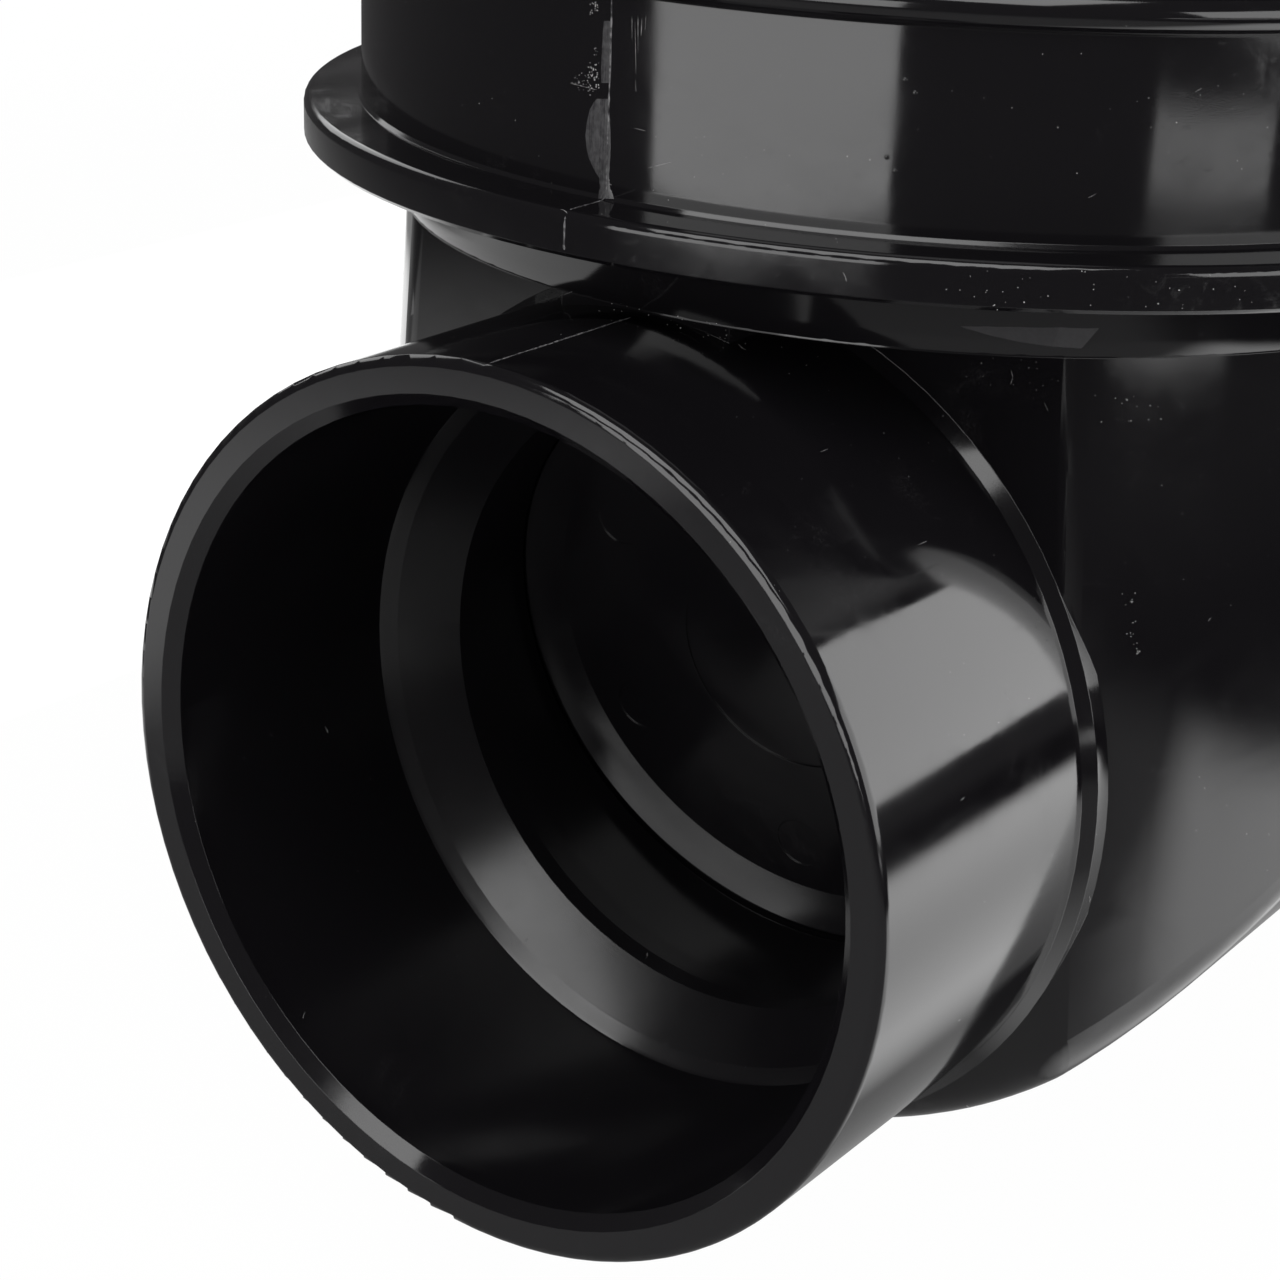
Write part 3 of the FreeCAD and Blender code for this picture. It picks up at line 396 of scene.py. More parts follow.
@dataclass
class Shavings:
    """Mesh of ridges, flecks, domes and patches that lie on a surface, inside the CAD box."""

    box: Sequence[Vector]
    chance: random.Random
    sink: float = 0.03 * MM
    margin: float = 0.02 * MM
    points: list[Vector] = field(default_factory=list)
    faces: list[tuple[int, ...]] = field(default_factory=list)

    def point(self, place: Vector) -> int:
        """Add a point, held inside the CAD box.

        Args:
            place: where it would lie.

        Returns:
            Its number in the mesh.
        """
        low, high = self.box
        held = (min(max(value, least + self.margin), most - self.margin)
                for value, least, most in zip(place, low, high))
        self.points.append(Vector(held))
        return len(self.points) - 1

    def wall(self, rings: Sequence[Sequence[int]]) -> None:
        """Join each closed ring of points to the next.

        Args:
            rings: the rings, all of one length.
        """
        for near, far in zip(rings, rings[1:]):
            for index in range(len(near)):
                after = (index + 1) % len(near)
                self.faces.append((near[index], near[after], far[after], far[index]))

    def caps(self, rings: Sequence[Sequence[int]]) -> None:
        """Close the first and the last ring."""
        self.faces.append(tuple(rings[0]))
        self.faces.append(tuple(reversed(rings[-1])))

    def ridge(self, spots: Sequence[Spot], width: float, height: float) -> None:
        """Lay a ragged ridge of triangular section.

        Args:
            spots: the row of spots that it follows.
            width: its usual width in metres.
            height: its usual height in metres.
        """
        rings = []
        last = len(spots) - 1
        for index, spot in enumerate(spots):
            ahead = spots[min(index + 1, last)].place - spots[max(index - 1, 0)].place
            side = ahead.cross(spot.normal).normalized()
            thin = 0.3 if index in (0, last) else 1.0
            half = thin * width * self.chance.uniform(0.30, 0.70)
            crest = spot.lifted(thin * height * self.chance.uniform(0.5, 1.3))
            foot = spot.lifted(-self.sink)
            section = (foot - side * half, crest, foot + side * half)
            rings.append([self.point(place) for place in section])
        self.wall(rings)
        self.caps(rings)

    def fleck(self, spot: Spot, size: float) -> None:
        """Drop a small irregular grain.

        Args:
            spot: where it lies.
            size: its size in metres.
        """
        side, other = spot.sides()
        turn = self.chance.uniform(0.0, math.tau)
        base = []
        for index in range(4):
            angle = turn + index * math.tau / 4
            reach = size * self.chance.uniform(0.25, 0.65)
            away = side * math.cos(angle) * reach + other * math.sin(angle) * reach
            base.append(self.point(spot.lifted(-self.sink) + away))
        top = self.point(spot.lifted(size * self.chance.uniform(0.25, 0.5)))
        self.faces.append(tuple(reversed(base)))
        for index in range(4):
            self.faces.append((base[index], base[(index + 1) % 4], top))

    def dome(self, spot: Spot, radius: float, height: float, around: int = 12, rows: int = 4) -> None:
        """Raise a round pip.

        Args:
            spot: where it stands.
            radius: its radius in metres.
            height: its height in metres.
            around: points in each ring.
            rows: rings from its foot to its top.
        """
        side, other = spot.sides()
        rings = []
        for row in range(rows):
            share = row / rows * math.pi / 2
            reach, rise = radius * math.cos(share), height * math.sin(share) - self.sink
            turns = (index * math.tau / around for index in range(around))
            rings.append([self.point(spot.lifted(rise) + side * math.cos(turn) * reach
                                     + other * math.sin(turn) * reach) for turn in turns])
        top = self.point(spot.lifted(height))
        self.wall(rings)
        for index in range(around):
            self.faces.append((rings[-1][index], rings[-1][(index + 1) % around], top))
        self.faces.append(tuple(reversed(rings[0])))

    def patch(self, rows: Sequence[Sequence[Spot]], lift: float) -> None:
        """Lay a thin skin, sunk along its border.

        Args:
            rows: rows of spots, all of one length.
            lift: height of its middle over the spots, in metres.
        """
        last_row, last = len(rows) - 1, len(rows[0]) - 1
        grid = []
        for down, row in enumerate(rows):
            edge_row = down in (0, last_row)
            grid.append([self.point(spot.lifted(-self.sink if edge_row or across in (0, last) else lift))
                         for across, spot in enumerate(row)])
        for near, far in zip(grid, grid[1:]):
            for across in range(last):
                self.faces.append((near[across], far[across], far[across + 1], near[across + 1]))

    def piece(self, name: str, material: bpy.types.Material, body: str, smooth: bool = False
              ) -> bpy.types.Object:
        """Turn the mesh into a piece that rides on a body.

        Args:
            name: name of the piece.
            material: its finish.
            body: the body that carries it.
            smooth: shade it smooth.

        Returns:
            The new piece.
        """
        mesh = bpy.data.meshes.new(name)
        mesh.from_pydata(self.points, [], self.faces)
        mesh.validate()
        for face in mesh.polygons:
            face.use_smooth = smooth
        mesh.materials.append(material)
        piece = bpy.data.objects.new(name, mesh)
        bpy.context.scene.collection.objects.link(piece)
        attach(piece, body)
        log.info("built %s: %d faces", name, len(self.faces))
        return piece


def dress(node: str, material: bpy.types.Material) -> None:
    """Give a CAD node one material in all its slots.

    Args:
        node: name of the CAD node.
        material: its new material.
    """
    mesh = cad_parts[node].data
    if not mesh.materials:
        mesh.materials.append(material)
    for index in range(len(mesh.materials)):
        mesh.materials[index] = material
    log.info("dressed %s in %s", node, material.name)


@dataclass(frozen=True)
class Softbox:
    """Rectangular softbox that hangs round the valve and faces it."""

    name: str
    azimuth: float
    elevation: float
    distance: float
    size: tuple[float, float]
    radiance: float

    def build(self, target: Vector) -> None:
        """Hang the softbox.

        Args:
            target: the point that it faces.
        """
        lamp = bpy.data.lights.new(self.name, "AREA")
        lamp.shape = "RECTANGLE"
        lamp.size, lamp.size_y = self.size
        lamp.energy = self.radiance * math.pi * self.size[0] * self.size[1]
        holder = bpy.data.objects.new(self.name, lamp)
        bpy.context.scene.collection.objects.link(holder)
        a, e = math.radians(self.azimuth), math.radians(self.elevation)
        way = Vector((math.cos(a) * math.cos(e), math.sin(a) * math.cos(e), math.sin(e)))
        holder.location = target + way * self.distance
        holder.rotation_mode = "QUATERNION"
        holder.rotation_quaternion = way.to_track_quat("Z", "Y")
        holder.visible_camera = False


@dataclass
class Studio:
    """Camera of the photograph, softboxes, and a floor and surroundings that the camera sees white."""

    eye: tuple[float, float, float] = (-266.61 * MM, -214.72 * MM, 164.3 * MM)
    yaw: float = 35.52
    pitch: float = -21.88
    roll: float = 2.13
    image_width: float = 1280.0
    focal_pixels: float = 2813.02
    sensor: float = 36.0
    floor_height: float = -95.0 * MM
    floor_centre: tuple[float, float] = (0.30, 0.10)
    floor_radius: float = 0.90
    # Zones of a glow on the floor that only glossy rays see: painted reflections, with a painted shadow
    # under the body and a dim painted shade in front.
    reflected_front: tuple[float, float] = (-0.41, -0.33)
    reflected_slant: float = 0.24
    reflected_turn: float = 0.10
    reflected_left: tuple[float, float] = (-0.03, 0.05)
    reflected_shadow: tuple[float, float] = (-0.10, -0.05)
    reflected_back: tuple[float, float] = (0.18, 0.26)
    reflected_end: tuple[float, float] = (0.50, 0.62)
    reflected_shade: float = 0.32
    reflected_glow: tuple[float, float] = (2.7, 1.7)
    reflected_glow_edge: tuple[float, float] = (-0.26, -0.14)
    reflected_back_glow: float = 1.2
    floor_white: float = 0.985
    floor_fade: tuple[float, float] = (0.62, 0.98)
    floor_colour: tuple[float, float, float] = (0.93, 0.93, 0.93)
    dim_colour: tuple[float, float, float] = (1.0, 0.98, 1.0)
    dim_strength: float = 0.07
    target: Vector = field(default_factory=lambda: Vector((0.108, 0.0, 0.02)))
    boxes: tuple[Softbox, ...] = (
        Softbox("front_box", 177.0, 6.2, 0.70, (0.54, 0.34), 3.3),
        Softbox("side_box", -72.0, 12.5, 0.80, (1.50, 0.45), 3.1),
        Softbox("low_box", -109.9, -6.2, 0.942, (0.34, 0.04), 2.0),
        Softbox("key_box", -170.0, 56.0, 0.90, (0.90, 0.62), 3.6),
        Softbox("back_box", 60.0, 30.0, 1.10, (0.70, 0.50), 1.6))

    def view_axes(self) -> tuple[Vector, Vector, Vector]:
        """Directions as the camera sees them.

        Returns:
            The directions ahead, to the right and up.
        """
        yaw, pitch, roll = (math.radians(angle) for angle in (self.yaw, self.pitch, self.roll))
        level = math.cos(pitch)
        ahead = Vector((math.cos(yaw) * level, math.sin(yaw) * level, math.sin(pitch)))
        side = ahead.cross(Vector((0, 0, 1))).normalized()
        above = side.cross(ahead)
        right = side * math.cos(roll) + above * math.sin(roll)
        up = above * math.cos(roll) - side * math.sin(roll)
        return ahead, right, up

    def camera(self) -> None:
        """Set the camera where the photograph was taken from."""
        ahead, right, up = self.view_axes()
        data = bpy.data.cameras.new("photo_camera")
        data.sensor_width = self.sensor
        data.lens = self.sensor * self.focal_pixels / self.image_width
        data.clip_start, data.clip_end = 0.01, 20.0
        holder = bpy.data.objects.new("photo_camera", data)
        bpy.context.scene.collection.objects.link(holder)
        turn = Matrix((right, up, -ahead)).transposed().to_4x4()
        holder.matrix_world = Matrix.Translation(self.eye) @ turn
        bpy.context.scene.camera = holder

    def surroundings(self) -> None:
        """White for the camera and for rays that pass through, dim for all else, reflections too."""
        world = bpy.data.worlds.new("studio")
        bpy.context.scene.world = world
        world.use_nodes = True
        nodes, links = world.node_tree.nodes, world.node_tree.links
        nodes.clear()
        output = nodes.new("ShaderNodeOutputWorld")
        paths = nodes.new("ShaderNodeLightPath")
        mix = nodes.new("ShaderNodeMixShader")
        dim = nodes.new("ShaderNodeBackground")
        dim.inputs[0].default_value = (*self.dim_colour, 1.0)
        dim.inputs[1].default_value = self.dim_strength
        white = nodes.new("ShaderNodeBackground")
        white.inputs[0].default_value = (1.0, 1.0, 1.0, 1.0)
        white.inputs[1].default_value = 1.0
        seen = nodes.new("ShaderNodeMath")
        seen.operation = "MAXIMUM"
        links.new(paths.outputs["Is Camera Ray"], seen.inputs[0])
        links.new(paths.outputs["Is Transmission Ray"], seen.inputs[1])
        links.new(seen.outputs[0], mix.inputs[0])
        links.new(dim.outputs[0], mix.inputs[1])
        links.new(white.outputs[0], mix.inputs[2])
        links.new(mix.outputs[0], output.inputs[0])

    def floor(self) -> None:
        """Round floor, white to the camera with a trace of the shadow, that fades out to its edge.

        Glossy rays alone see zones of it from black to 2.7 times white, placed for the photograph's
        reflections: the reflections on the plastic are not those of a plain floor.
        """
        mesh = bpy.data.meshes.new("floor")
        bm = bmesh.new()
        bmesh.ops.create_circle(bm, cap_ends=True, segments=96, radius=self.floor_radius)
        bm.to_mesh(mesh)
        bm.free()
        disc = bpy.data.objects.new("floor", mesh)
        bpy.context.scene.collection.objects.link(disc)
        disc.location = (*self.floor_centre, self.floor_height)
        g = Graph("floor_paper")
        reach = g.add("ShaderNodeVectorMath", {"operation": "LENGTH"}, Vector=g.place).outputs["Value"]
        inside = g.between(reach, *(share * self.floor_radius for share in self.floor_fade), 1.0, 0.0)
        paths = g.add("ShaderNodeLightPath").outputs
        along = g.add("ShaderNodeSeparateXYZ", Vector=g.place).outputs
        centre_x, centre_y = self.floor_centre
        offset = g.math("ADD", along["X"], centre_x - self.reflected_turn)
        slanted = g.math("MULTIPLY_ADD", offset, -self.reflected_slant, along["Y"])
        near = g.between(slanted, *(y - centre_y for y in self.reflected_front))
        left = g.between(along["X"], *(x - centre_x for x in self.reflected_left))
        # Painted shadow: the glow drops to nothing under the body.
        under = g.between(along["Y"], *(y - centre_y for y in self.reflected_shadow), 1.0, 0.0)
        back = g.between(along["Y"], *(y - centre_y for y in self.reflected_back))
        end = g.between(along["Y"], *(y - centre_y for y in self.reflected_end), self.reflected_back_glow, 0.0)
        glow = g.between(along["Y"], *(y - centre_y for y in self.reflected_glow_edge), *self.reflected_glow)
        glow = g.math("MULTIPLY", g.math("MULTIPLY", near, left), g.math("MULTIPLY", under, glow))
        glow = g.math("MAXIMUM", glow, g.math("MULTIPLY", back, end))
        # Dim painted reflection over the whole front zone.
        glow = g.math("MAXIMUM", glow, g.math("MULTIPLY", near, self.reflected_shade))
        strength = g.math("MAXIMUM", glow, g.math("SUBTRACT", 1.0, paths["Is Glossy Ray"]))
        lit = g.add("ShaderNodeBsdfDiffuse", Color=(*self.floor_colour, 1.0))
        white = g.add("ShaderNodeEmission", Color=(1.0, 1.0, 1.0, 1.0), Strength=strength)
        shown = g.math("MULTIPLY", paths["Is Camera Ray"], self.floor_white)
        shown = g.math("MAXIMUM", shown, paths["Is Glossy Ray"])
        shown = g.math("MAXIMUM", shown, paths["Is Transmission Ray"])
        paper = g.add("ShaderNodeMixShader")
        g.feed(paper.inputs[0], shown)
        g.feed(paper.inputs[1], lit.outputs[0])
        g.feed(paper.inputs[2], white.outputs[0])
        clear = g.add("ShaderNodeBsdfTransparent")
        edge = g.add("ShaderNodeMixShader")
        g.feed(edge.inputs[0], inside)
        g.feed(edge.inputs[1], clear.outputs[0])
        g.feed(edge.inputs[2], paper.outputs[0])
        mesh.materials.append(g.finish(edge))
        disc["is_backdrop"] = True

    def ray(self, across: float, down: float) -> Vector:
        """Direction from the eye through a pixel of the photograph.

        Args:
            across: pixels from the left edge.
            down: pixels from the top edge.

        Returns:
            The direction.
        """
        ahead, right, up = self.view_axes()
        half = self.image_width / 2
        return (ahead + right * ((across - half) / self.focal_pixels)
                - up * ((down - half) / self.focal_pixels)).normalized()

    def build(self) -> None:
        """Make the camera, the surroundings, the floor and the lamps."""
        self.camera()
        self.surroundings()
        self.floor()
        for box in self.boxes:
            box.build(self.target)
        bpy.context.scene.view_settings.view_transform = "Standard"
        log.info("studio set")


@dataclass
class PartingLine:
    """Ragged seam where the halves of the mould met, in the plane through both pipes."""

    skin: Skin
    shavings: Shavings
    step: float = 0.8 * MM
    width: float = 0.34 * MM
    height: float = 0.10 * MM
    drift: float = 0.042 * MM
    steady: float = 0.15
    fewest: int = 3
    low_rows: tuple[tuple[float, float, float], ...] = (
        (-0.0010, 0.0300, 0.0740), (0.0146, 0.0227, 0.1000), (0.2045, 0.2570, 0.0740),
        (0.2110, 0.2190, 0.1000))
    side_levels: tuple[tuple[float, float], ...] = ((0.0655, 0.0745), (0.0752, 0.0808), (0.0812, 0.1072),
                                                    (0.1076, 0.1122))

    def row(self, first: Vector, final: Vector, way: Vector) -> None:
        """Lay the seam where lines from a row of starts meet the body, with a break at each jump.

        Args:
            first: start of the first line.
            final: start of the last line.
            way: direction of every line.
        """
        count = max(2, round((final - first).length / self.step))
        spots: list[Spot] = []
        wander = 0.0
        for index in range(count + 1):
            wander += self.shavings.chance.uniform(-1.0, 1.0) * self.drift - self.steady * wander
            start = first.lerp(final, index / count) + Vector((0.0, wander, 0.0))
            spot = self.skin.meet(start, way)
            jump = spot is None or (spots and (spot.place - spots[-1].place).length > 3 * self.step)
            if jump:
                self.lay(spots)
                spots = []
            if spot is not None:
                spots.append(spot)
        self.lay(spots)

    def lay(self, spots: Sequence[Spot]) -> None:
        """Lay a ridge along spots, unless they are too few."""
        if len(spots) >= self.fewest:
            self.shavings.ridge(spots, self.width, self.height)

    def build(self, material: bpy.types.Material) -> None:
        """Lay the seam on both ends, over the hubs and along the underside.

        Args:
            material: its finish.
        """
        for first, final, level in self.low_rows:
            self.row(Vector((first, 0.0, level)), Vector((final, 0.0, level)), Vector((0, 0, -1)))
        for low, high in self.side_levels:
            for start, way in ((-0.02, 1.0), (0.28, -1.0)):
                self.row(Vector((start, 0.0, low)), Vector((start, 0.0, high)), Vector((way, 0, 0)))
        self.row(Vector((-0.001, 0.0, -0.2)), Vector((0.257, 0.0, -0.2)), Vector((0, 0, 1)))
        self.shavings.piece("parting_seam", material, HOUSING)


@dataclass
class PhotoMarks:
    """Marks that the photograph shows at known places, laid where its lines of sight meet the body.

    Places are pixels of the photograph. A row of trim or land is its height, left and right; a stroke is
    its two ends and its width in mm; a field of dust or chips is its left, top, right and bottom, the
    number of flecks and their usual size in mm.
    """

    skin: Skin
    studio: Studio
    box: Sequence[Vector]
    stroke_height: float = 0.02 * MM
    trim_lift: float = 0.045 * MM
    land_lift: float = 0.03 * MM
    fine_sink: float = 0.01 * MM
    pip_radius: float = 0.36 * MM
    pip_height: float = 0.16 * MM
    lip_top: float = 0.60 * MM
    lip_foot: float = 0.45 * MM
    lip_rise: float = 1.1 * MM
    lip_under: float = 0.2 * MM
    steps: int = 6
    fewest: int = 3
    pips: tuple[tuple[float, float], ...] = ((905, 80), (915, 93), (887, 157), (895, 171))
    trim: tuple[tuple[float, float, float], ...] = (
        (96, 598, 611), (103, 592, 611), (110, 588, 611), (122, 585, 612), (135, 583.5, 612.5),
        (147, 584.5, 612.5), (156, 586.5, 612), (168, 592, 611), (178, 598.5, 609.8), (189, 599, 611),
        (199, 598, 614))
    land: tuple[tuple[float, float, float], ...] = (
        (12, 604, 613), (30, 602, 612.5), (50, 601, 612.5), (72, 600, 612), (94, 599, 611))
    # Most strokes are scratch marks; the upright ones near the top of the seam and the two along the hub's
    # top by the flange are painted highlights of edges catching light.
    scratch_and_highlight_strokes: tuple[tuple[float, float, float, float, float], ...] = (
        (632, 17, 632, 40, 0.05), (635, 22, 636, 74, 0.06), (638, 16, 638, 52, 0.05),
        (642, 18, 641, 36, 0.06), (646, 16, 645, 30, 0.05), (635.5, 80, 636, 92, 0.05),
        (634, 128, 646, 131, 0.06),
        (648, 168, 672, 162, 0.06), (570, 83, 597, 90, 0.07), (648, 290, 680, 296, 0.06),
        (664, 310, 700, 318, 0.10), (696, 317, 735, 322, 0.08), (1011, 370, 1013, 378, 0.08),
        (1013, 378, 1010, 385, 0.08), (1009, 347, 1018, 346, 0.09), (955, 350, 962, 349, 0.08),
        (1222, 327, 1232, 327, 0.05), (1195, 92, 1202, 88, 0.06), (1088, 198, 1096, 194, 0.06),
        (738, 344, 745, 350, 0.06), (560, 296, 574, 291, 0.06), (820, 452, 828, 449, 0.05),
        (1044, 402, 1048, 411, 0.06), (918, 545, 927, 541, 0.05), (1004, 690, 1009, 701, 0.05))
    dust: tuple[tuple[float, float, float, float, int, float], ...] = (
        (590, 280, 700, 312, 46, 0.16), (640, 290, 690, 330, 26, 0.18), (700, 318, 750, 350, 18, 0.14),
        (1085, 395, 1165, 425, 14, 0.16), (1122, 590, 1140, 660, 22, 0.15), (950, 340, 1080, 400, 26, 0.10),
        (620, 120, 900, 200, 14, 0.10), (930, 40, 1270, 200, 22, 0.12), (700, 340, 1000, 620, 34, 0.10),
        (940, 270, 1270, 310, 40, 0.14), (400, 30, 560, 200, 16, 0.10), (1110, 440, 1270, 900, 26, 0.11),
        (200, 380, 460, 1060, 30, 0.10), (930, 660, 1060, 960, 12, 0.09))
    chips: tuple[tuple[float, float, float, float, int, float], ...] = (
        (588, 62, 599, 95, 46, 0.20), (578, 72, 590, 90, 26, 0.16), (571, 76, 580, 84, 12, 0.12),
        (590, 2, 598, 15, 18, 0.20), (594, 45, 598, 56, 8, 0.16), (600, 180, 612, 200, 16, 0.12))
    brow_top: tuple[tuple[float, float], ...] = ((958, 323.5), (985, 323), (1015, 323), (1060, 323.5),
                                                 (1101, 324))
    brow_foot: tuple[tuple[float, float], ...] = ((964, 327), (990, 334), (1018, 340), (1050, 344),
                                                  (1079, 346))

    def spot(self, across: float, down: float) -> Spot | None:
        """Spot on the body behind a pixel of the photograph."""
        return self.skin.meet(Vector(self.studio.eye), self.studio.ray(across, down))

    def row(self, left: float, top: float, right: float, foot: float) -> list[Spot]:
        """Evenly spaced spots from one pixel to another.

        Args:
            left: pixels across to the first.
            top: pixels down to the first.
            right: pixels across to the last.
            foot: pixels down to the last.

        Returns:
            The spots.
        """
        shares = (index / self.steps for index in range(self.steps + 1))
        found = (self.spot(left + (right - left) * share, top + (foot - top) * share) for share in shares)
        return [spot for spot in found if spot is not None]

    def scatter(self, shavings: Shavings, fields: Iterable[tuple[float, float, float, float, int, float]]
                ) -> None:
        """Drop flecks in rectangles of the photograph.

        Args:
            shavings: the mesh that takes them.
            fields: the rectangles.
        """
        chance = shavings.chance
        for left, top, right, foot, count, size in fields:
            for _ in range(count):
                spot = self.spot(chance.uniform(left, right), chance.uniform(top, foot))
                if spot is not None:
                    shavings.fleck(spot, size * MM * chance.uniform(0.7, 1.6))

    def knife_marks(self, material: bpy.types.Material) -> None:
        """Lay the trimmed lens beside the seam and the land above it.

        Args:
            material: its finish.
        """
        shavings = Shavings(self.box, random.Random(SEED + 1))
        for band, lift in ((self.trim, self.trim_lift), (self.land, self.land_lift)):
            shavings.patch([self.row(left, down, right, down) for down, left, right in band], lift)
        shavings.piece("knife_trim", material, HOUSING, smooth=True)

    def whitened(self, material: bpy.types.Material) -> None:
        """Lay scratch marks, chips and torn crumbs of whitened plastic, and pale strokes that are painted
        highlights.

        Args:
            material: their finish.
        """
        shavings = Shavings(self.box, random.Random(SEED + 2), sink=self.fine_sink)
        # Pale strokes, some of them painted highlights rather than scratch marks.
        for *ends, width in self.scratch_and_highlight_strokes:
            spots = self.row(*ends)
            if len(spots) >= self.fewest:
                shavings.ridge(spots, width * MM, self.stroke_height)
        self.scatter(shavings, self.chips)
        shavings.piece("scratches_and_painted_highlights", material, HOUSING)

    def dusting(self, material: bpy.types.Material) -> None:
        """Drop the dust that lies in the corners and on the sides.

        Args:
            material: its finish.
        """
        shavings = Shavings(self.box, random.Random(SEED + 3), sink=self.fine_sink)
        self.scatter(shavings, self.dust)
        shavings.piece("dust_in_view", material, HOUSING)

    def pip_row(self, material: bpy.types.Material) -> None:
        """Raise the small pips on the neck.

        Args:
            material: their finish.
        """
        shavings = Shavings(self.box, random.Random(SEED + 4))
        for pixel in self.pips:
            spot = self.spot(*pixel)
            if spot is not None:
                shavings.dome(spot, self.pip_radius, self.pip_height)
        shavings.piece("neck_pips", material, HOUSING, smooth=True)

    def brow_lip(self, material: bpy.types.Material) -> None:
        """Raise the tapered lip under the flange, on both sides of the body, in a grey paler than the
        body's black: a painted highlight.

        Args:
            material: its finish.
        """
        shavings = Shavings(self.box, random.Random(SEED + 5))
        top = [self.spot(*pixel) for pixel in self.brow_top]
        foot = [self.spot(*pixel) for pixel in self.brow_foot]
        for mirror in (1.0, -1.0):
            rings = []
            for index, (upper, lower) in enumerate(zip(top, foot)):
                rise = self.lip_rise * min(1.0, 0.3 + 0.25 * index)
                under = lower.lifted(-shavings.sink) - Vector((0.0, 0.0, self.lip_under))
                section = (upper.lifted(self.lip_top), lower.lifted(self.lip_foot + rise), under)
                rings.append([shavings.point(Vector((c.x, c.y * mirror, c.z))) for c in section])
            shavings.wall(rings)
            shavings.caps(rings)
        shavings.piece("brow_lip", material, HOUSING)

    def build(self, plastic: bpy.types.Material, scraped: bpy.types.Material, pale: bpy.types.Material,
              dusty: bpy.types.Material, satin_highlight: bpy.types.Material) -> None:
        """Lay every mark.

        Args:
            plastic: finish of the pips.
            scraped: finish of the trimmed places.
            pale: finish of the scratch marks and chips, and of the pale strokes that are painted
                highlights.
            dusty: finish of the dust.
            satin_highlight: finish of the lip, a smooth grey paler than the body's black that is a painted
                highlight.
        """
        self.knife_marks(scraped)
        self.whitened(pale)
        self.dusting(dusty)
        self.pip_row(plastic)
        self.brow_lip(satin_highlight)


@dataclass
class BrowSkin:
    """Face of the brow under the flange, leaning a little down where the moulded solid leans up."""

    skin: Skin
    box: Sequence[Vector]
    radius: float = 86.9 * MM
    clear: float = 0.35 * MM
    outside: float = 0.3
    spread: float = 0.7 * MM
    foot: float = 65.15 * MM
    top: float = 74.8 * MM
    lean: float = 0.085
    rows: int = 8
    step: float = 1.5
    fewest: int = 4

    def reach(self, level: float) -> float:
        """Radius of the face at a level."""
        return self.radius + self.clear + (level - self.foot) * self.lean

    def column(self, angle: float) -> list[Spot] | None:
        """Spots up the face at one angle.

        Args:
            angle: direction from the riser's axis, in radians.

        Returns:
            The spots, or nothing where the body has no brow.
        """
        out = Vector((math.cos(angle), math.sin(angle), 0.0))
        spots = []
        for index in range(self.rows + 1):
            level = self.foot + (self.top - self.foot) * index / self.rows
            centre = Vector((RISER_AXIS, 0.0, level))
            met = self.skin.meet(centre + out * self.outside, -out)
            if met is None or abs((met.place - centre).length - self.radius) > self.spread:
                return None
            edge = index in (0, self.rows)
            spots.append(Spot(met.place if edge else centre + out * self.reach(level), out))
        return spots

    def build(self, material: bpy.types.Material) -> None:
        """Lay the face wherever the body has a brow.

        Args:
            material: its finish.
        """
        shavings = Shavings(self.box, random.Random(SEED + 7))
        run: list[list[Spot]] = []
        turns = [index * self.step - 90.0 for index in range(round(360 / self.step) + 1)]
        for column in [self.column(math.radians(turn)) for turn in turns] + [None]:
            if column is not None:
                run.append(column)
                continue
            if len(run) >= self.fewest:
                shavings.patch(run, 0.0)
            run = []
        shavings.piece("brow_skin", material, HOUSING, smooth=True)


@dataclass
class LooseDust:
    """Grains and short lint over the whole outside, so no side is bare."""

    skin: Skin
    box: Sequence[Vector]
    grains: int = 520
    threads: int = 70
    grain_size: tuple[float, float] = (0.05 * MM, 0.13 * MM)
    thread_length: tuple[float, float] = (0.5 * MM, 1.6 * MM)
    thread_width: float = 0.05 * MM
    thread_height: float = 0.03 * MM
    thread_steps: int = 5
    far: float = 0.5
    near: float = 3 * MM

    def spot(self, chance: random.Random) -> Spot | None:
        """Spot somewhere on the outside, met by a line from far off.

        Args:
            chance: the source of random numbers.

        Returns:
            The spot, or nothing where the line misses the body.
        """
        low, high = self.box
        aim = Vector([chance.uniform(least, most) for least, most in zip(low, high)])
        away = Vector([chance.gauss(0.0, 1.0) for _ in range(3)]).normalized()
        return self.skin.meet(aim + away * self.far, -away)

    def thread(self, spot: Spot, chance: random.Random) -> list[Spot]:
        """Row of spots of a short bent thread.

        Args:
            spot: where it starts.
            chance: the source of random numbers.

        Returns:
            The spots on the surface.
        """
        side, other = spot.sides()
        turn, bend = chance.uniform(0.0, math.tau), chance.uniform(-0.5, 0.5)
        length = chance.uniform(*self.thread_length)
        line = []
        for index in range(self.thread_steps + 1):
            share = index / self.thread_steps
            angle, reach = turn + bend * share, length * share
            start = spot.lifted(MM) + (side * math.cos(angle) + other * math.sin(angle)) * reach
            met = self.skin.meet(start, -spot.normal)
            if met is not None and (met.place - spot.place).length < self.near:
                line.append(met)
        return line

    def build(self, material: bpy.types.Material) -> None:
        """Scatter the grains and the lint.

        Args:
            material: their finish.
        """
        chance = random.Random(SEED + 6)
        shavings = Shavings(self.box, chance, sink=0.01 * MM)
        for _ in range(self.grains):
            spot = self.spot(chance)
            if spot is not None:
                shavings.fleck(spot, chance.uniform(*self.grain_size))
        for _ in range(self.threads):
            spot = self.spot(chance)
            line = self.thread(spot, chance) if spot is not None else []
            if len(line) > 3:
                shavings.ridge(line, self.thread_width, self.thread_height)
        shavings.piece("loose_dust", material, HOUSING)


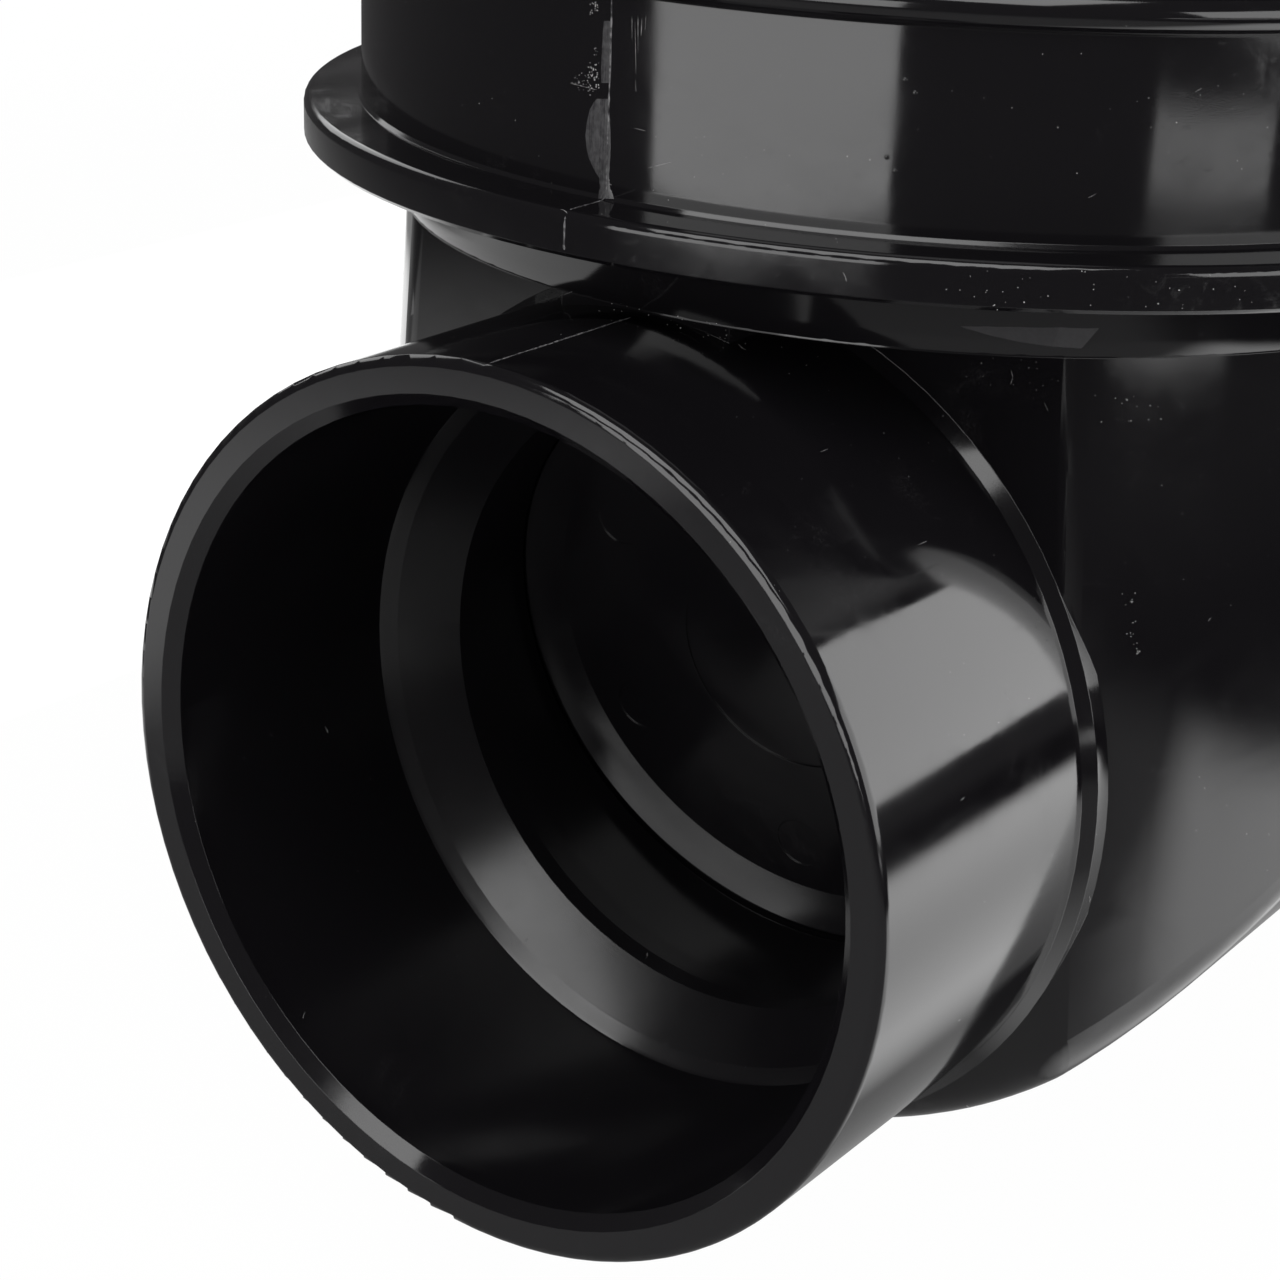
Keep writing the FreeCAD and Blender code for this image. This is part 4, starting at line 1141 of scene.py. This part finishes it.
@dataclass
class Housing:
    """The moulded valve body and everything fixed to it."""

    studio: Studio
    box: Sequence[Vector]
    ring_scale: float = 5200.0
    ring_depth: float = 0.006 * MM
    scuff_scale: float = 380.0
    cone_dulling: float = 0.08
    scuff_dulling: float = 0.12
    socket_dulling: float = 0.07

    @staticmethod
    def reach(g: Graph, first: Value, second: Value) -> bpy.types.NodeSocket:
        """Distance from an axis, from the two distances square to it."""
        return g.math("SQRT", g.math("ADD", g.math("POWER", first, 2.0), g.math("POWER", second, 2.0)))

    def body_marks(self, g: Graph) -> Marks:
        """Turning rings on the stop cone, a scuffed rim of the flange and duller sockets.

        Args:
            g: the material's nodes.

        Returns:
            The marks.
        """
        along = g.add("ShaderNodeSeparateXYZ", Vector=g.place).outputs
        pipe = self.reach(g, along["Y"], along["Z"])
        bored = g.between(pipe, 56.6 * MM, 57.2 * MM, 1.0, 0.0)
        cone = g.math("MULTIPLY", bored, g.between(along["X"], 42.5 * MM, 44.5 * MM))
        cone = g.math("MULTIPLY", cone, g.between(along["X"], 60.0 * MM, 62.0 * MM, 1.0, 0.0))
        rings = g.noise(self.ring_scale, 3.0, 0.6, 0.0, g.add("ShaderNodeCombineXYZ", X=pipe).outputs[0])
        riser = self.reach(g, g.math("SUBTRACT", along["X"], RISER_AXIS), along["Y"])
        rim = g.math("MULTIPLY", g.between(riser, 99.0 * MM, 101.5 * MM),
                     g.between(along["Y"], -60.0 * MM, -30.0 * MM, 1.0, 0.0))
        rim = g.math("MULTIPLY", rim, g.between(along["Z"], 74.0 * MM, 74.8 * MM))
        scuffs = g.math("MULTIPLY", g.between(g.noise(self.scuff_scale, 5.0, 0.7, 0.6), 0.50, 0.70), rim)
        socket = g.math("MULTIPLY", g.between(pipe, 57.5 * MM, 58.0 * MM, 1.0, 0.0),
                        g.between(along["X"], 1.0 * MM, 3.0 * MM))
        socket = g.math("MULTIPLY", socket, g.between(along["X"], 230.0 * MM, 258.0 * MM, 1.0, 0.0))
        dulling = g.math("MULTIPLY", scuffs, self.scuff_dulling)
        dulling = g.math("MULTIPLY_ADD", cone, self.cone_dulling, dulling)
        dulling = g.math("MULTIPLY_ADD", socket, self.socket_dulling, dulling)
        return Marks(dulling, g.math("MULTIPLY", rings, cone), self.ring_depth)

    def dress_body(self) -> None:
        """Finish the big moulding, and lay its seam, trimming marks and dust."""
        plastic = MouldedPlastic("body_black_abs").material(self.body_marks)
        dress("valve_body", plastic)
        skin = Skin("valve_body")
        # Pale whitened plastic, also the paint of the strokes that are painted highlights.
        pale = Powder("whitened_plastic_and_painted_highlight").material()
        dusty = Powder("grey_dust", pale=(0.78, 0.77, 0.76), deep=(0.42, 0.41, 0.41)).material()
        scraped = Powder("scraped_plastic", pale=(0.050, 0.049, 0.051), deep=(0.022, 0.021, 0.023),
                         rough=(0.22, 0.42), streaks=0.02 * MM).material()
        seam = Powder("torn_seam", pale=(0.20, 0.195, 0.20), deep=(0.012, 0.011, 0.013),
                      rough=(0.25, 0.55)).material()
        PartingLine(skin, Shavings(self.box, random.Random(SEED))).build(seam)
        # Grey of the lip, about ten times the body's black: a painted highlight under the flange.
        satin_highlight = Powder("satin_lip_painted_highlight", pale=(0.046, 0.045, 0.047), deep=(0.038, 0.037, 0.039),
                       rough=(0.30, 0.36), streaks=0.001 * MM).material()
        PhotoMarks(skin, self.studio, self.box).build(plastic, scraped, pale, dusty, satin_highlight)
        BrowSkin(skin, self.box).build(plastic)
        LooseDust(skin, self.box).build(dusty)

    def dress_cover(self) -> None:
        """Finish the access cover, its gasket and its fasteners."""
        cover = MouldedPlastic("cover_black_abs", drag=Axis.Z, gloss=(0.34, 0.46)).material()
        dress("access_cover", cover)
        dress("cover_gasket", SoftRubber("gasket_rubber").material())
        dress("cover_screws", WorkedMetal("screw_steel").material())
        dress("cover_washers", WorkedMetal("washer_steel", gloss=(0.18, 0.32)).material())
        brass = WorkedMetal("insert_brass", (0.62, 0.44, 0.18), (0.40, 0.27, 0.10)).material()
        dress("cover_inserts", brass)
        dress("bracket_inserts", brass)

    def dress_hinge(self) -> None:
        """Finish the bracket, pin, clips and screws of the hinge."""
        bracket = MouldedPlastic("bracket_black", drag=Axis.Z, gloss=(0.18, 0.30)).material()
        dress("hinge_bracket", bracket)
        dress("bracket_screws", WorkedMetal("bracket_screw_steel").material())
        dress("hinge_pin", WorkedMetal("pin_steel", gloss=(0.14, 0.26)).material())
        clip = WorkedMetal("clip_steel", colour=(0.42, 0.42, 0.43)).material()
        dress("pin_clip_left", clip)
        dress("pin_clip_right", clip)

    def build(self) -> None:
        """Dress every node of the housing."""
        self.dress_body()
        self.dress_cover()
        self.dress_hinge()


@dataclass
class Flap:
    """The swinging flap."""

    face_gloss: tuple[float, float] = (0.12, 0.22)
    carrier_gloss: tuple[float, float] = (0.18, 0.30)

    def build(self) -> None:
        """Dress the face, seal, carrier and screws."""
        dress("flap_face", MouldedPlastic("flap_black", gloss=self.face_gloss).material())
        dress("flap_seal", SoftRubber("seal_rubber").material())
        dress("flap_carrier", MouldedPlastic("carrier_black", gloss=self.carrier_gloss).material())
        dress("flap_screws", WorkedMetal("clamp_screw_steel").material())


def main() -> None:
    """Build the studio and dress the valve."""
    logging.basicConfig(level=logging.INFO, format="%(name)s: %(message)s")
    random.seed(SEED)
    cad_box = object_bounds()
    studio = Studio()
    studio.build()
    Housing(studio, cad_box).build()
    Flap().build()


if __name__ == "__main__":
    main()
